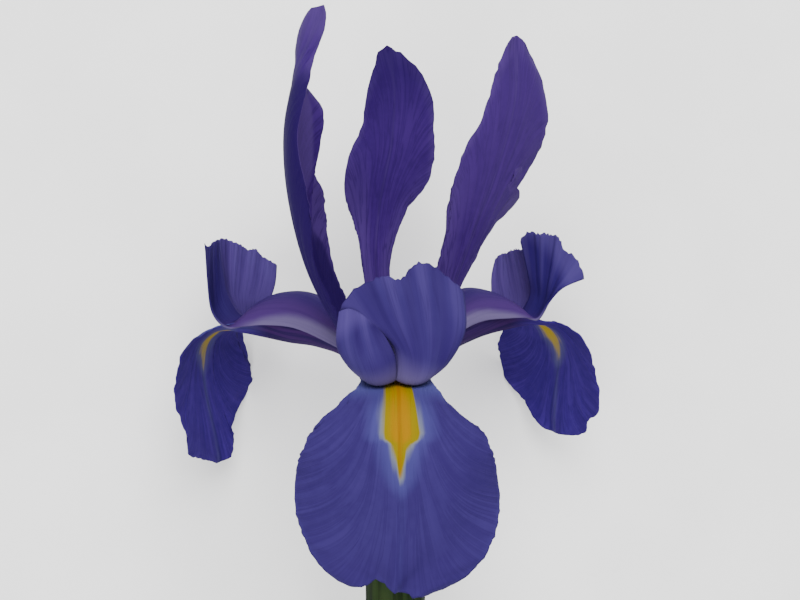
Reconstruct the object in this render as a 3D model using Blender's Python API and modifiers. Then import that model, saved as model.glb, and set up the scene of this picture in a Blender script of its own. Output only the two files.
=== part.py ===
"""A cut iris with its stem, laid on a table.

Flower axes, in mm: x right, y back, z up the stem, origin under the petals. lay_down turns them to the
table, where +Y runs from the stem to the petals' tips and +Z is up. The origin there is under the middle
of the whole flower's box, on the table."""

import math

import bmesh
import bpy
import numpy as np

MM = 0.001
BLADE = 0.7  # thickness of every petal and bract
STEM_LENGTH = 92.0
STEM_RADIUS = (3.9, 3.5)  # cut end, top
OVARY_LENGTH = 23.0
GAP = 0.35  # clear space between neighbouring pieces
COLUMN_RADIUS = 1.8
COLUMN_HEIGHT = 8.4
LAY_TILT = 15.36  # degrees the stem rises from the table
LAY_ROLL = -5.85  # degrees the flower is rolled on its stem
BASE_HEIGHT = 34.3  # the petals' base above the table

FALL_ROWS, FALL_COLUMNS = 24, 16
STANDARD_ROWS, STANDARD_COLUMNS = 20, 14
ARM_ROWS, ARM_COLUMNS = 27, 6

# Flat patterns: distance from the base and half width, from the base to the tip.
HAFT = [(0, 1.3), (6, 2.8), (14, 5.2), (22, 6.4), (29, 6.4), (34, 5.5), (39, 5)]
FRONT_RIGHT = HAFT + [(44.5, 6.1), (48.5, 7.2), (51.5, 8.6), (54.5, 11.6), (57, 14.2), (60.5, 15.8)]
FRONT_RIGHT += [(65, 16.5), (70, 16.6), (74, 15.8), (77.5, 14.2), (81, 11.2), (83.2, 7.4), (84.2, 3.8)]
FRONT_RIGHT += [(83.2, 0)]
FRONT_LEFT = HAFT + [(44.5, 6.1), (48, 6.8), (51.5, 9), (54.7, 12.8), (58, 14.8), (62, 15.9), (66.5, 16.3)]
FRONT_LEFT += [(71, 16), (75, 14.8), (78, 13.6), (80.5, 11.4), (82.8, 8.6), (83, 5.6), (81.6, 2.6)]
FRONT_LEFT += [(83.2, 0)]
RIGHT_BACK = HAFT + [(42.5, 6.2), (46, 10), (50.3, 14.5), (55, 17), (60, 18), (65, 17.6), (68, 15.4)]
RIGHT_BACK += [(71, 11.4), (74, 7.4), (76.6, 3.5), (77, 0)]
RIGHT_OUT = HAFT + [(43, 6), (46.5, 8.6), (49.5, 12.2), (53, 15), (57, 15), (61, 14), (65, 15.2)]
RIGHT_OUT += [(69.5, 14.2), (72.5, 10.6), (74.4, 10.4), (76, 7.5), (76.8, 3), (77, 0)]
LEFT_OUT = HAFT + [(44, 6.4), (48, 7.4), (52, 10), (56, 14), (61, 14.8), (66, 13), (71, 11.4)]
LEFT_OUT += [(74.5, 12.4), (77, 13.6), (79, 10), (81, 5), (82.2, 2), (82.2, 0)]
LEFT_BACK = HAFT + [(43, 7), (47.5, 9), (52, 10.8), (57, 13.2), (62, 14.8), (66, 15), (69, 12.6)]
LEFT_BACK += [(72, 8.8), (76, 5.6), (80, 4.4), (82, 2.6), (82.2, 0)]
HAFT_CURL = [(0, 0.2), (0.34, 0.2), (0.42, 0.13), (0.5, 0.03), (0.6, 0), (0.8, -0.02), (1, -0.02)]

# Every petal: azimuth round the stem from the front, degrees; spine as (out, sideways, up).
PETALS = {
    "fall_front": dict(
        azimuth=0.5, right=FRONT_RIGHT, left=FRONT_LEFT, haft=46, side=0.58, split=0.42,
        wave=(0.6, 3.5, 0.4),
        spine=[(3.6, 0, 0.5), (6, 0, 6.2), (12, 0, 11.5), (22, 0, 14.8), (33, 0, 16.7), (41, 0, 17.5),
               (46, 0, 17.2), (50.3, 0, 15), (53, 0, 10.5), (54, 0, 3.5), (53.6, 0, -4),
               (52.6, -0.3, -12)],
        curl=[(0, 0.2), (0.2, 0.2), (0.36, 0.18), (0.44, 0.1), (0.52, 0.03), (0.65, -0.02), (1, -0.02)],
        colour=(0.10, 0.08, 0.32)),
    "fall_right": dict(
        azimuth=125, right=RIGHT_BACK, left=RIGHT_OUT, haft=38, side=0.55, split=0.42, wave=(0.6, 3, 1.1),
        spine=[(3.6, 0, 0.5), (6, 0, 6.8), (11, 0, 13.3), (20, 0, 18), (30, 0, 20), (37, 0, 20.7),
               (42, 0, 20), (46, 0, 16.5), (48, 0, 10), (48, 0, 2), (47, 0, -9)], curl=HAFT_CURL,
        colour=(0.09, 0.07, 0.30)),
    "fall_left": dict(
        azimuth=-115, right=LEFT_OUT, left=LEFT_BACK, haft=40, side=0.55, split=0.42, wave=(0.6, 3, 2.3),
        spine=[(3.6, 0, 0.5), (6, 0, 6.5), (11, 0, 12.6), (18, 0, 16.8), (25, 0, 17.6), (32, 0, 18.4),
               (38, 0, 19.1), (43, 0, 19.3), (47, 0, 17), (49, 0, 11), (48.5, 0, 3), (46.5, 0, -5),
               (44, 0, -13)], curl=HAFT_CURL, colour=(0.09, 0.07, 0.30)),
    "standard_back": dict(
        azimuth=183, haft=25, side=0.55, split=0.24, wave=(0.5, 5, 0.2),
        right=[(0, 1), (10, 1.8), (25, 2.7), (35, 3), (40, 3.8), (44.5, 6.2), (49, 8.6), (54, 9.2),
               (58.5, 9), (65, 7.2), (71, 6.4), (76, 5.8), (80.5, 4), (83.5, 2.4), (84.6, 0)],
        left=[(0, 1), (10, 1.8), (25, 2.7), (35, 3.2), (41, 4.6), (46, 5.6), (50, 7.4), (55, 9.2),
              (60, 9.8), (66, 9), (72, 8.8), (76, 7.4), (80, 5), (83.3, 2.4), (84.6, 0)],
        spine=[(4, 0, 1), (5.5, 0.5, 12), (8.5, 3, 24), (11, 4.6, 35), (13, 3.6, 48), (15.5, 0.8, 62),
               (18, 0.4, 74), (20, 2.2, 84.5)], curl=[(0, 0.2), (0.4, 0.12), (0.7, 0.03), (1, 0.02)],
        colour=(0.09, 0.05, 0.26)),
    "standard_right": dict(
        azimuth=62, haft=25, side=0.55, split=0.24, wave=(0.6, 5, 1.7),
        right=[(0, 1), (10, 1.8), (25, 4), (36, 6), (42.5, 7), (47, 8.6), (51, 10.6), (54, 9.4),
               (57, 8.2), (60, 9.8), (64, 11.4), (68, 10.6), (73, 8.4), (77, 6.6), (80, 3.4), (82, 1.4),
               (82.8, 0)],
        left=[(0, 1), (10, 1.8), (25, 3.6), (35, 5.6), (42, 6.6), (48, 8), (55, 8.4), (61, 8.5), (65, 7),
              (70, 6.2), (75, 4.9), (79, 3.2), (82, 1.6), (82.8, 0)],
        spine=[(4, 0, 1), (6, 0, 12), (10, 0, 24), (14, 0, 35), (18.5, 0, 46), (22.5, 0, 56),
               (26, 0, 68), (26.5, 0, 79.5)], curl=[(0, 0.2), (0.4, 0.12), (0.7, 0.03), (1, 0.02)],
        roll=[(0, 0), (0.3, -5), (0.6, -24), (1, -24)], colour=(0.09, 0.05, 0.26)),
    "standard_left": dict(
        azimuth=-58, haft=18, side=0.55, split=0.2, wave=(0.5, 5, 0.9),
        right=[(0, 1), (10, 1.8), (25, 3.8), (38, 5.6), (50, 8), (60, 8.6), (70, 7.6), (77, 5),
               (82, 3.2), (87, 3), (90, 1.6), (91.4, 0)],
        left=[(0, 1), (10, 1.8), (18, 4.2), (26, 7.2), (34, 7.6), (41, 8.4), (48, 9.4), (53, 9.6),
              (57.5, 8.2), (62, 9), (68, 10.6), (73, 9.8), (77, 6.4), (80.5, 4.2), (85, 4.6), (89, 3),
              (91.4, 0)],
        spine=[(4, 0, 1), (5.5, 0, 8), (9, 0, 16), (14, 0, 24), (19.1, 0, 34), (22.7, 0, 44),
               (24.5, 0, 54), (24.2, 0, 64), (21.2, 0, 73), (19.2, 0, 80), (17.6, 0, 86.5)],
        curl=[(0, 0.2), (0.4, 0.14), (0.7, 0.12), (1, 0.1)],
        curl_left=[(0, 0.2), (0.25, 0.2), (0.4, 0.17), (0.7, 0.15), (0.85, 0.05), (1, 0.05)],
        roll=[(0, 0), (0.25, -18), (0.5, -28), (0.8, -28), (0.92, 20), (1, 30)],
        colour=(0.06, 0.04, 0.24)),
}

# Style arms. The keel and the edge run from the column to where the two crest lobes part; the
# inner and outer borders of each lobe follow. Lobe "p" is on the +sideways side, "n" on the other.
ARM_ROUND = [1, 1, 1, 1, 1, 0.85, 0.4, 0.1, 0, 0]
ARMS = {
    "style_arm_front": dict(
        azimuth=0.5,
        keel=[(2.2, 0, 9.2), (7, 0, 17.5), (13.5, 0, 24), (21.5, 0, 27), (29.5, 0, 26.6), (36.5, 0, 24),
              (43.2, -0.1, 19.5)],
        edge=[(1.55, 1.5, 9), (7.5, 3.4, 14.8), (13, 5.9, 18.6), (21, 5.9, 20.6), (28.5, 5.9, 20.8),
              (35, 5.9, 20.3), (41.5, 5.7, 19.9)],
        p=dict(inner=[(43, -0.6, 25), (41.8, -5.2, 28.3), (40.3, -9.5, 30.6)],
               outer=[(41.5, 8.8, 21.8), (40.5, 12.1, 27), (38, 12.4, 33.9)],
               bulge=[(1.5, 0, -0.9), (2, 0, -1), (1.5, 0, 1.6), (0, 0, 7.6)], frill=(3.5, 0.3)),
        n=dict(inner=[(45, -0.2, 23), (45, -1.5, 26.3), (43.2, -3.4, 28.2)],
               outer=[(42.5, -7.8, 21.4), (42.3, -9.8, 25), (42.2, -9.9, 31)],
               bulge=[(1.5, 0, -0.9), (2, 0, -1), (1.2, 0, 0.2), (0, 0, 0.6)], frill=(2.5, 2.0))),
    "style_arm_right": dict(
        azimuth=125,
        keel=[(2.2, 0, 9.2), (7, 0, 18.5), (12.5, 0, 25.8), (18.6, 0, 29.2), (25.5, 0, 28.3),
              (30.5, 0, 26.1), (34.5, 0, 22.8)],
        edge=[(1.55, 1.5, 9), (7.5, 3.4, 15.8), (12.5, 5.9, 20.8), (19, 5.9, 22.8), (26.5, 6.2, 23.1),
              (31, 6.4, 23), (34.6, 6.4, 22.6)],
        p=dict(inner=[(38.9, 0.5, 27), (38.7, 0.7, 32.5), (36.5, 0.9, 38)],
               outer=[(32.8, 6.9, 25), (33, 7.8, 30), (34.6, 8.8, 35.6)],
               bulge=[(1.2, 0, -0.8), (1.8, 0, -0.5), (1, 0, 0), (0, 0, 1.5)], frill=(3, 1.2)),
        n=dict(inner=[(37.2, -1, 27.3), (36.6, -1.2, 32.5), (34.2, -1.2, 40)],
               outer=[(37.4, -7.2, 25.8), (41, -9.3, 30), (44.5, -10.3, 33.5)],
               bulge=[(1.2, 0, -0.8), (1.5, 0, -1), (1, 0, 0.5), (0, 0, 5)], frill=(3.5, 0.6))),
    "style_arm_left": dict(
        azimuth=-115,
        keel=[(2.2, 0, 9.2), (7, 0, 18), (13, 0, 24.8), (20.6, 0, 28.4), (28, 0, 28.2), (33.5, 0, 25.9),
              (37.9, 0, 22.6)],
        edge=[(1.55, 1.5, 9), (7.5, 3.4, 15.2), (13, 5.9, 19), (20.7, 6.1, 21), (27.9, 6.2, 21.5),
              (33.5, 6.2, 21.1), (38.3, 6.2, 20.9)],
        p=dict(inner=[(41, 1.2, 27), (42.1, 1.8, 33), (43, 1.8, 39)],
               outer=[(41.9, 6.5, 24.2), (42.2, 8, 31), (41.8, 9, 38.3)],
               bulge=[(1.2, 0, -0.8), (1.5, 0, -1), (0.8, 0, 0), (0, 0, 0.5)], frill=(2.5, 0.9)),
        n=dict(inner=[(42.5, -0.4, 27.3), (44, -0.5, 33.3), (44.9, -0.5, 39.6)],
               outer=[(35.9, -7.4, 25.5), (35.2, -9, 28.8), (35.6, -10.6, 32)],
               bulge=[(1.2, 0, -0.8), (1.8, 0, -0.5), (1.2, 0, 0), (0, 0, 1.4)], frill=(3.5, 1.5))),
}
ARM_COLOUR = (0.20, 0.14, 0.46)
CREST_PLEAT = 0.45  # height of the folds that fan out over a crest lobe
FRILL_DEPTH = 0.045  # share of the arm's rows that the frilled margin is cut back by

# Stamens: centre line as (out, up) and half widths (sideways, thickness).
STAMEN_LINE = [(3.1, 2.2), (3.7, 6.5), (5.6, 11.5), (9.5, 16), (14, 19.6), (18, 21.4), (20, 22),
               (24, 22.9), (28, 23.1), (30.5, 22.8)]
STAMEN_RINGS, STAMEN_SIDES = 13, 6
STAMEN_WIDTH = [(0.5, 0.4)] * 6 + [(1, 0.6), (1.1, 0.65), (1, 0.6), (0.4, 0.3)]
OVARY_PROFILE = [(0, 3.2), (0.15, 3.6), (0.45, 4.2), (0.75, 3.7), (0.9, 3.6), (1, 4.7)]  # share, radius
OVARY_RINGS = 9
STEM_SIDES, OVARY_SIDES, COLUMN_SIDES = 32, 20, 20

# Bracts: height up the stem, radius, share of the way round, from the foot to the tip.
SPATHES = {
    "spathe_inner": dict(
        azimuth=160, colour=(0.07, 0.16, 0.05),
        rows=[(-70, 4.5, 0.5), (-60, 4.7, 0.58), (-46, 5, 0.6), (-30, 5.1, 0.56), (-16, 5.2, 0.4),
              (-8, 5.3, 0.2), (-4.5, 5.5, 0.06)]),
    "spathe_outer": dict(
        azimuth=-20, colour=(0.06, 0.15, 0.04),
        rows=[(-74, 5.6, 0.52), (-64, 5.8, 0.6), (-50, 6.1, 0.64), (-34, 6.2, 0.6), (-18, 6.3, 0.46),
              (-9, 6.5, 0.26), (-3.5, 7, 0.06)]),
}
SPATHE_ROWS, SPATHE_COLUMNS = 10, 8


def through(knots, values, x):
    """Smooth curve through the values at the knots: cubic pieces, slopes taken from both neighbours."""
    knots = np.asarray(knots, float)
    values = np.asarray(values, float)
    x = np.asarray(x, float)
    slope = np.gradient(values, knots, axis=0)
    i = np.clip(np.searchsorted(knots, x, side="right") - 1, 0, len(knots) - 2)
    step = knots[i + 1] - knots[i]
    t = (x - knots[i]) / step
    if values.ndim == 2:
        step = step[..., None]
        t = t[..., None]
    ends = (2 * t**3 - 3 * t**2 + 1) * values[i] + (3 * t**2 - 2 * t**3) * values[i + 1]
    return ends + step * ((t**3 - 2 * t**2 + t) * slope[i] + (t**3 - t**2) * slope[i + 1])


def path(points, count=400):
    """Many points along a smooth curve, with the distance of each from the start."""
    points = np.asarray(points, float)
    chord = np.r_[0, np.cumsum(np.linalg.norm(np.diff(points, axis=0), axis=1))]
    fine = through(chord, points, np.linspace(0, chord[-1], count))
    distance = np.r_[0, np.cumsum(np.linalg.norm(np.diff(fine, axis=0), axis=1))]
    return distance, fine


def along(curve, share):
    distance, points = curve
    d = np.asarray(share) * distance[-1]
    return np.stack([np.interp(d, distance, points[:, j]) for j in range(points.shape[1])], -1)


def half_pattern(s, w, edge, length, spec):
    """Flat half petal for rows s (base 0, margin 1) and columns w (midline 0, edge 1). Up to the split
    the rows cross the haft; past it they widen into the blade, and the last row follows the margin
    from the tip to the edge point at share `side` of the outline."""
    haft, side, split = spec["haft"], spec["side"], spec["split"]
    outline = path(edge)
    distance, points = outline
    rising = slice(0, np.argmax(points[:, 0]) + 1)
    haft_share = np.interp(haft, points[rising, 0], distance[rising]) / distance[-1]
    low = np.clip(s / split, 0, 1)
    grow = np.clip((s - split) / (1 - split), 0, 1)
    in_haft = (s < split)[..., None]
    haft_edge = np.stack([low * haft, np.interp(low * haft, points[rising, 0], points[rising, 1])], -1)
    edge_point = np.where(in_haft, haft_edge, along(outline, haft_share + grow * (side - haft_share)))
    tip = points[-1]
    middle = np.where(s < split, low * haft, haft + grow * (length - haft))
    middle = np.stack([middle, 0 * s], -1) + (grow**2)[..., None] * (tip - np.array([length, 0]))
    margin = along(outline, 1 - w * (1 - side))
    corner = along(outline, side)
    w = w[..., None]
    reach = (grow**1.5)[..., None]
    return (1 - w) * middle + w * edge_point + reach * (margin - (1 - w) * tip - w * corner)


def unit(vectors):
    return vectors / np.linalg.norm(vectors, axis=-1, keepdims=True)


def bend(p, q, spec):
    """Flat pattern point to (out, sideways, up): p follows the spine, q an arc of the curl across it."""
    distance, points = path(spec["spine"])
    tangent = unit(np.gradient(points, distance, axis=0))
    across = unit(np.array([0.0, 1.0, 0.0]) - tangent * tangent[:, 1:2])
    normal = np.cross(tangent, across)
    roll = through(*zip(*spec.get("roll", [(0, 0), (1, 0)])), distance / distance[-1])
    cos, sin = np.cos(np.radians(roll))[:, None], np.sin(np.radians(roll))[:, None]
    across, normal = across * cos + normal * sin, normal * cos - across * sin
    over = np.clip(p - distance[-1], 0, None)[..., None]
    held = np.clip(p, 0, distance[-1])

    def at(values):
        return np.stack([np.interp(held, distance, values[:, j]) for j in range(3)], -1)

    share = held / distance[-1]
    curl = through(*zip(*spec["curl"]), share)
    curl = np.where(q < 0, through(*zip(*spec.get("curl_left", spec["curl"])), share), curl)
    curl = np.where(np.abs(curl) < 1e-5, 1e-5, curl)
    side = (np.sin(curl * q) / curl)[..., None]
    lift = ((1 - np.cos(curl * q)) / curl)[..., None]
    return at(points) + at(tangent) * over + at(across) * side + at(normal) * lift, at(normal)


def place(points, azimuth):
    """(out, sideways, up) of one petal to the flower's axes."""
    a = math.radians(azimuth)
    out, side, up = np.moveaxis(points, -1, 0)
    x = out * math.sin(a) + side * math.cos(a)
    return np.stack([x, side * math.sin(a) - out * math.cos(a), up], -1)


def petal(spec, s, w):
    """Middle surface of a petal: its pattern bent along the spine, with waves that grow to the margin."""
    length = path(spec["spine"])[0][-1]
    right = half_pattern(s, np.abs(w), spec["right"], length, spec)
    left = half_pattern(s, np.abs(w), spec["left"], length, spec)
    p = np.where(w < 0, left[..., 0], right[..., 0])
    q = np.where(w < 0, -left[..., 1], right[..., 1])
    points, normal = bend(p, q, spec)
    height, count, phase = spec["wave"]
    blade = np.clip((s - spec["split"]) / (1 - spec["split"]), 0, 1)
    rim = np.maximum(np.abs(w), blade**2) ** 3 * np.clip(blade * 4 - 0.8, 0, 1)
    turn = np.arctan2(q, 1 + length - p)
    wave = height * rim * np.sin(count * turn * 2 + phase + p * count / length * 4)
    return place(points + normal * wave[..., None], spec["azimuth"])


def half_arm(spec, s, w, sign):
    """Middle surface of half a style arm, rows s from the column to the crest margin, columns w from
    the keel to the edge. Under the crest its section is a quarter oval; each lobe is a ruled sheet
    with a bulge and with folds that deepen to the margin."""
    lobe = spec["p" if sign > 0 else "n"]
    inner = np.array(spec["keel"] + lobe["inner"], float)
    outer = np.array([(r, t * sign, z) for r, t, z in spec["edge"]] + lobe["outer"], float)
    knots = np.linspace(0, 1, len(inner))
    bulge = np.zeros((len(inner), 3))
    bulge[-4:] = lobe["bulge"]
    count, phase = lobe["frill"]
    crest = np.clip((s - 0.7) / 0.3, 0, 1)
    s = s * (1 - FRILL_DEPTH * crest**4 * (0.5 - 0.5 * np.cos(4 * np.pi * count * w + phase)))
    start = through(knots, inner, s)
    reach = through(knots, outer, s) - start
    sideways = reach * np.array([0, 1, 0])
    w = w[..., None]
    oval = sideways * np.sin(np.pi / 2 * w) + (reach - sideways) * (1 - np.cos(np.pi / 2 * w))
    rounded = np.interp(s, knots, ARM_ROUND)[..., None]
    sheet = start + rounded * oval + (1 - rounded) * reach * w
    sheet = sheet + through(knots, bulge, s) * np.sin(np.pi * w).clip(0, 1) ** 0.8
    pleat = CREST_PLEAT * crest * np.sin(2 * np.pi * count * w[..., 0] + phase)
    facing = unit(np.cross(reach, np.array([0.0, 0.0, 1.0])))
    return sheet + facing * pleat[..., None]


def arm(spec, s, w):
    points = np.where((w < 0)[..., None], half_arm(spec, s, -w, -1), half_arm(spec, s, w, 1))
    return place(points, spec["azimuth"])


def spathe(spec, s, w):
    """A bract: an arc round the stem whose radius and share of the way round change up its length."""
    rows = np.array(spec["rows"], float)
    knots = np.linspace(0, 1, len(rows))
    height, radius, share = np.moveaxis(through(knots, rows, s), -1, 0)
    angle = math.radians(spec["azimuth"]) + w * share * np.pi
    return np.stack([radius * np.sin(angle), -radius * np.cos(angle), height], -1)


def lay_down(points):
    """Flower axes to the table: rolled on the stem, then laid back with the stem end on the table."""
    roll = math.radians(LAY_ROLL)
    tilt = math.radians(LAY_TILT)
    x = points[..., 0] * math.cos(roll) - points[..., 1] * math.sin(roll)
    y = points[..., 0] * math.sin(roll) + points[..., 1] * math.cos(roll)
    z = points[..., 2]
    up = z * math.sin(tilt) - y * math.cos(tilt) + BASE_HEIGHT
    return np.stack([x, z * math.cos(tilt) + y * math.sin(tilt), up], -1)


def clear_scene():
    for obj in list(bpy.data.objects):
        bpy.data.objects.remove(obj)


def material(name, colour, roughness):
    made = bpy.data.materials.new(name)
    made.use_nodes = True
    shader = made.node_tree.nodes["Principled BSDF"]
    shader.inputs["Base Color"].default_value = (*colour, 1)
    shader.inputs["Roughness"].default_value = roughness
    return made


def mesh_object(name, points, faces, colour, collection, roughness=0.6):
    """One node: the points, in flower millimetres, laid down and joined by the faces."""
    mesh = bpy.data.meshes.new(name)
    mesh.from_pydata((lay_down(points) * MM).tolist(), [], faces)
    mesh.update()
    obj = bpy.data.objects.new(name, mesh)
    obj.data.materials.append(material(name, colour, roughness))
    collection.objects.link(obj)
    return obj


def grid_faces(rows, columns, flip_from):
    """Triangles of a rows x columns grid of cells; from column `flip_from` on, the other diagonal."""
    faces = []
    for i in range(rows):
        for j in range(columns):
            a = i * (columns + 1) + j
            b = a + columns + 1
            if j < flip_from:
                faces += [(a, b, a + 1), (a + 1, b, b + 1)]
            else:
                faces += [(a, b, b + 1), (a, b + 1, a + 1)]
    return faces


def thicken(obj, thickness=BLADE):
    solid = obj.modifiers.new("Thickness", "SOLIDIFY")
    solid.thickness = thickness * MM
    solid.offset = 0
    return obj


def add_sheet(name, shape, spec, rows, columns, collection, roughness=0.6):
    s, w = np.meshgrid(np.linspace(0, 1, rows + 1), np.linspace(-1, 1, columns + 1), indexing="ij")
    points = shape(spec, s, w).reshape(-1, 3)
    faces = grid_faces(rows, columns, columns // 2)
    thicken(mesh_object(name, points, faces, spec["colour"], collection, roughness))


def add_arm(name, spec, collection):
    """Both halves on one grid; past the split the keel column is doubled, so that the lobes part."""
    width = 2 * ARM_COLUMNS + 1
    s, w = np.meshgrid(np.linspace(0, 1, ARM_ROWS + 1), np.linspace(-1, 1, width), indexing="ij")
    points = arm(spec, s, w)
    parted = np.flatnonzero(s[:, 0] > (len(spec["keel"]) - 1) / (len(ARM_ROUND) - 1) + 1e-6)
    left_keel = place(half_arm(spec, s[parted, :1], 0 * s[parted, :1], -1), spec["azimuth"])[:, 0]
    keel = {(int(row), ARM_COLUMNS): s.size + k for k, row in enumerate(parted)}
    faces = []
    for face in grid_faces(ARM_ROWS, 2 * ARM_COLUMNS, ARM_COLUMNS):
        corners = [divmod(v, width) for v in face]
        on_left = min(column for _, column in corners) < ARM_COLUMNS
        faces.append([keel.get(c, v) if on_left else v for c, v in zip(corners, face)])
    points = np.concatenate([points.reshape(-1, 3), left_keel])
    thicken(mesh_object(name, points, faces, ARM_COLOUR, collection))


def tube(centres, frames, half_widths, sides):
    """Closed rod: an oval ring at every centre, in the plane of its frame, with a fan at either end."""
    angle = np.linspace(0, 2 * np.pi, sides, endpoint=False)
    ring = np.cos(angle)[:, None, None] * frames[None, :, 0] * half_widths[None, :, :1]
    ring = ring + np.sin(angle)[:, None, None] * frames[None, :, 1] * half_widths[None, :, 1:]
    points = (centres + ring).transpose(1, 0, 2).reshape(-1, 3)
    last = (len(centres) - 1) * sides
    faces = [tuple(range(sides))[::-1], tuple(range(last, last + sides))]
    for i in range(len(centres) - 1):
        for j in range(sides):
            a = i * sides + j
            b = i * sides + (j + 1) % sides
            faces.append((a, b, b + sides, a + sides))
    return points, faces


def upright_tube(profile, sides):
    """Closed rod on the flower's axis from (height, radius) pairs."""
    profile = np.array(profile, float)
    centres = np.stack([0 * profile[:, 0], 0 * profile[:, 0], profile[:, 0]], -1)
    frames = np.tile(np.array([[[1.0, 0, 0], [0, 1.0, 0]]]), (len(profile), 1, 1))
    return tube(centres, frames, profile[:, [1, 1]], sides)


def add_stem(collection):
    top = -OVARY_LENGTH - GAP
    profile = [(top - STEM_LENGTH, STEM_RADIUS[0]), (top, STEM_RADIUS[1])]
    points, faces = upright_tube(profile, STEM_SIDES)
    mesh_object("stem", points, faces, (0.10, 0.22, 0.07), collection, 0.5)


def add_ovary(collection):
    share, radius = np.array(OVARY_PROFILE).T
    fine = np.linspace(0, 1, OVARY_RINGS)
    profile = np.stack([(fine - 1) * OVARY_LENGTH, through(share, radius, fine)], -1)
    points, faces = upright_tube(profile, OVARY_SIDES)
    mesh_object("ovary", points, faces, (0.12, 0.25, 0.08), collection, 0.5)


def add_column(collection):
    profile = [(GAP, COLUMN_RADIUS), (GAP + COLUMN_HEIGHT, COLUMN_RADIUS)]
    points, faces = upright_tube(profile, COLUMN_SIDES)
    mesh_object("style_column", points, faces, (0.35, 0.30, 0.55), collection)


def add_stamen(name, azimuth, collection):
    """Filament and anther on one centre line, in the plane of its style arm."""
    line = np.array([(out, 0, up) for out, up in STAMEN_LINE], float)
    knots = np.linspace(0, 1, len(line))
    fine = np.linspace(0, 1, STAMEN_RINGS)
    centres = through(knots, line, fine)
    tangent = unit(np.gradient(centres, axis=0))
    sideways = np.tile([0.0, 1.0, 0.0], (len(fine), 1))
    frames = np.stack([sideways, np.cross(tangent, sideways)], 1)
    widths = np.stack([np.interp(fine, knots, column) for column in np.array(STAMEN_WIDTH, float).T], -1)
    points, faces = tube(centres, frames, widths, STAMEN_SIDES)
    mesh_object(name, place(points, azimuth), faces, (0.55, 0.45, 0.12), collection, 0.7)


def face_out(obj):
    """Turns every face of a closed mesh outward."""
    work = bmesh.new()
    work.from_mesh(obj.data)
    bmesh.ops.recalc_face_normals(work, faces=work.faces)
    work.to_mesh(obj.data)
    work.free()


def stand_on_origin(objects):
    """Moves all the nodes together, so that the middle of the foot of their common box is the origin."""
    graph = bpy.context.evaluated_depsgraph_get()
    corners = np.array([corner[:] for obj in objects for corner in obj.evaluated_get(graph).bound_box])
    low, high = corners.min(0), corners.max(0)
    for obj in objects:
        obj.location = (-(low[0] + high[0]) / 2, -(low[1] + high[1]) / 2, -low[2])


def build():
    clear_scene()
    collection = bpy.data.collections.new("iris_flower")
    bpy.context.scene.collection.children.link(collection)
    for name, spec in PETALS.items():
        fall = name.startswith("fall")
        rows = FALL_ROWS if fall else STANDARD_ROWS
        columns = FALL_COLUMNS if fall else STANDARD_COLUMNS
        add_sheet(name, petal, spec, rows, columns, collection)
    for name, spec in ARMS.items():
        add_arm(name, spec, collection)
        add_stamen(name.replace("style_arm", "stamen"), spec["azimuth"], collection)
    for name, spec in SPATHES.items():
        add_sheet(name, spathe, spec, SPATHE_ROWS, SPATHE_COLUMNS, collection, 0.5)
    add_stem(collection)
    add_ovary(collection)
    add_column(collection)
    for obj in collection.objects:
        if not obj.modifiers:
            face_out(obj)
    stand_on_origin(collection.objects)


build()
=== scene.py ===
"""Looks of a cut iris that lies on a table: petals, arched style arms with crests, stamens, bracts, stem.

Flower axes, in mm: x right, y back, z up the stem, origin under the petals. Each petal and arm is shaped
in its own axes first: out from the stem, sideways, up. lay_down turns flower axes to the table's, where
+Y runs from the stem to the petals' tips and +Z is up.
"""

import math

import bpy
import numpy as np
from mathutils import Matrix, Vector


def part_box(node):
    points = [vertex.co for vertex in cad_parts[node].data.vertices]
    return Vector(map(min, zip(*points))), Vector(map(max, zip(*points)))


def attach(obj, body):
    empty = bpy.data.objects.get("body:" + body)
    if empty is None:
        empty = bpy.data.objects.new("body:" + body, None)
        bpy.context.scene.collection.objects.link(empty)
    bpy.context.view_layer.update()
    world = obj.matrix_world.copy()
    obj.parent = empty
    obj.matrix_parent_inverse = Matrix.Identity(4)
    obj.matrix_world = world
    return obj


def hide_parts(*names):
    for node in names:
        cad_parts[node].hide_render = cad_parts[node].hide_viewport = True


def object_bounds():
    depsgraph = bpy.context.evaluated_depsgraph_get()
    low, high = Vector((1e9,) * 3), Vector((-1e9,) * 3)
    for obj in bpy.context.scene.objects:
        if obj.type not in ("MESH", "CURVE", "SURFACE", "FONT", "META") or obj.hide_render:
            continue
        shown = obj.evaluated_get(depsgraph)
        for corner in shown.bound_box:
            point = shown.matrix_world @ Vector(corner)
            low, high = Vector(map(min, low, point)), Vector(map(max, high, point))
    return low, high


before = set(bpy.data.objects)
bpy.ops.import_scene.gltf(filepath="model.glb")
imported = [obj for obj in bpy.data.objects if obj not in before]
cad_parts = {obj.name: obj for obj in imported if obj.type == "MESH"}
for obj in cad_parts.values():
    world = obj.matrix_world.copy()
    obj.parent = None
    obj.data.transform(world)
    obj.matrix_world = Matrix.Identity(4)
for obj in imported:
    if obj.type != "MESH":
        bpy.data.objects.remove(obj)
cad_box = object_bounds()

MM = 0.001
LAY_TILT = 15.36  # degrees the stem rises from the table
LAY_ROLL = -5.85  # degrees the flower is rolled on its stem
BASE_HEIGHT = 34.3  # the petals' base above the table
STEM_LENGTH = 92.0
STEM_RADIUS = (3.9, 3.5)  # cut end, top
OVARY_LENGTH = 23.0
GAP = 0.35  # clear space between neighbouring pieces
PETAL_FOOT = 1.1  # how far the ovary rises round the petals
COLUMN_RADIUS = 1.8
COLUMN_HEIGHT = 8.4
PETAL_THICK = (0.56, 0.2)  # at the midline and the haft, at the blade's margin
ARM_THICK = (0.56, 0.2)  # under the crest, at its margin
BRACT_THICK = (0.55, 0.3)  # at the midline, at the edges
KEEL_WIDTH = 0.8  # of the keel along a petal's midrib
RIDGE_WIDTH = 2.0  # of the yellow ridge on a side fall
PATTERN_SHIFT = 300  # sets the vein patterns of the petals apart

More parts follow.
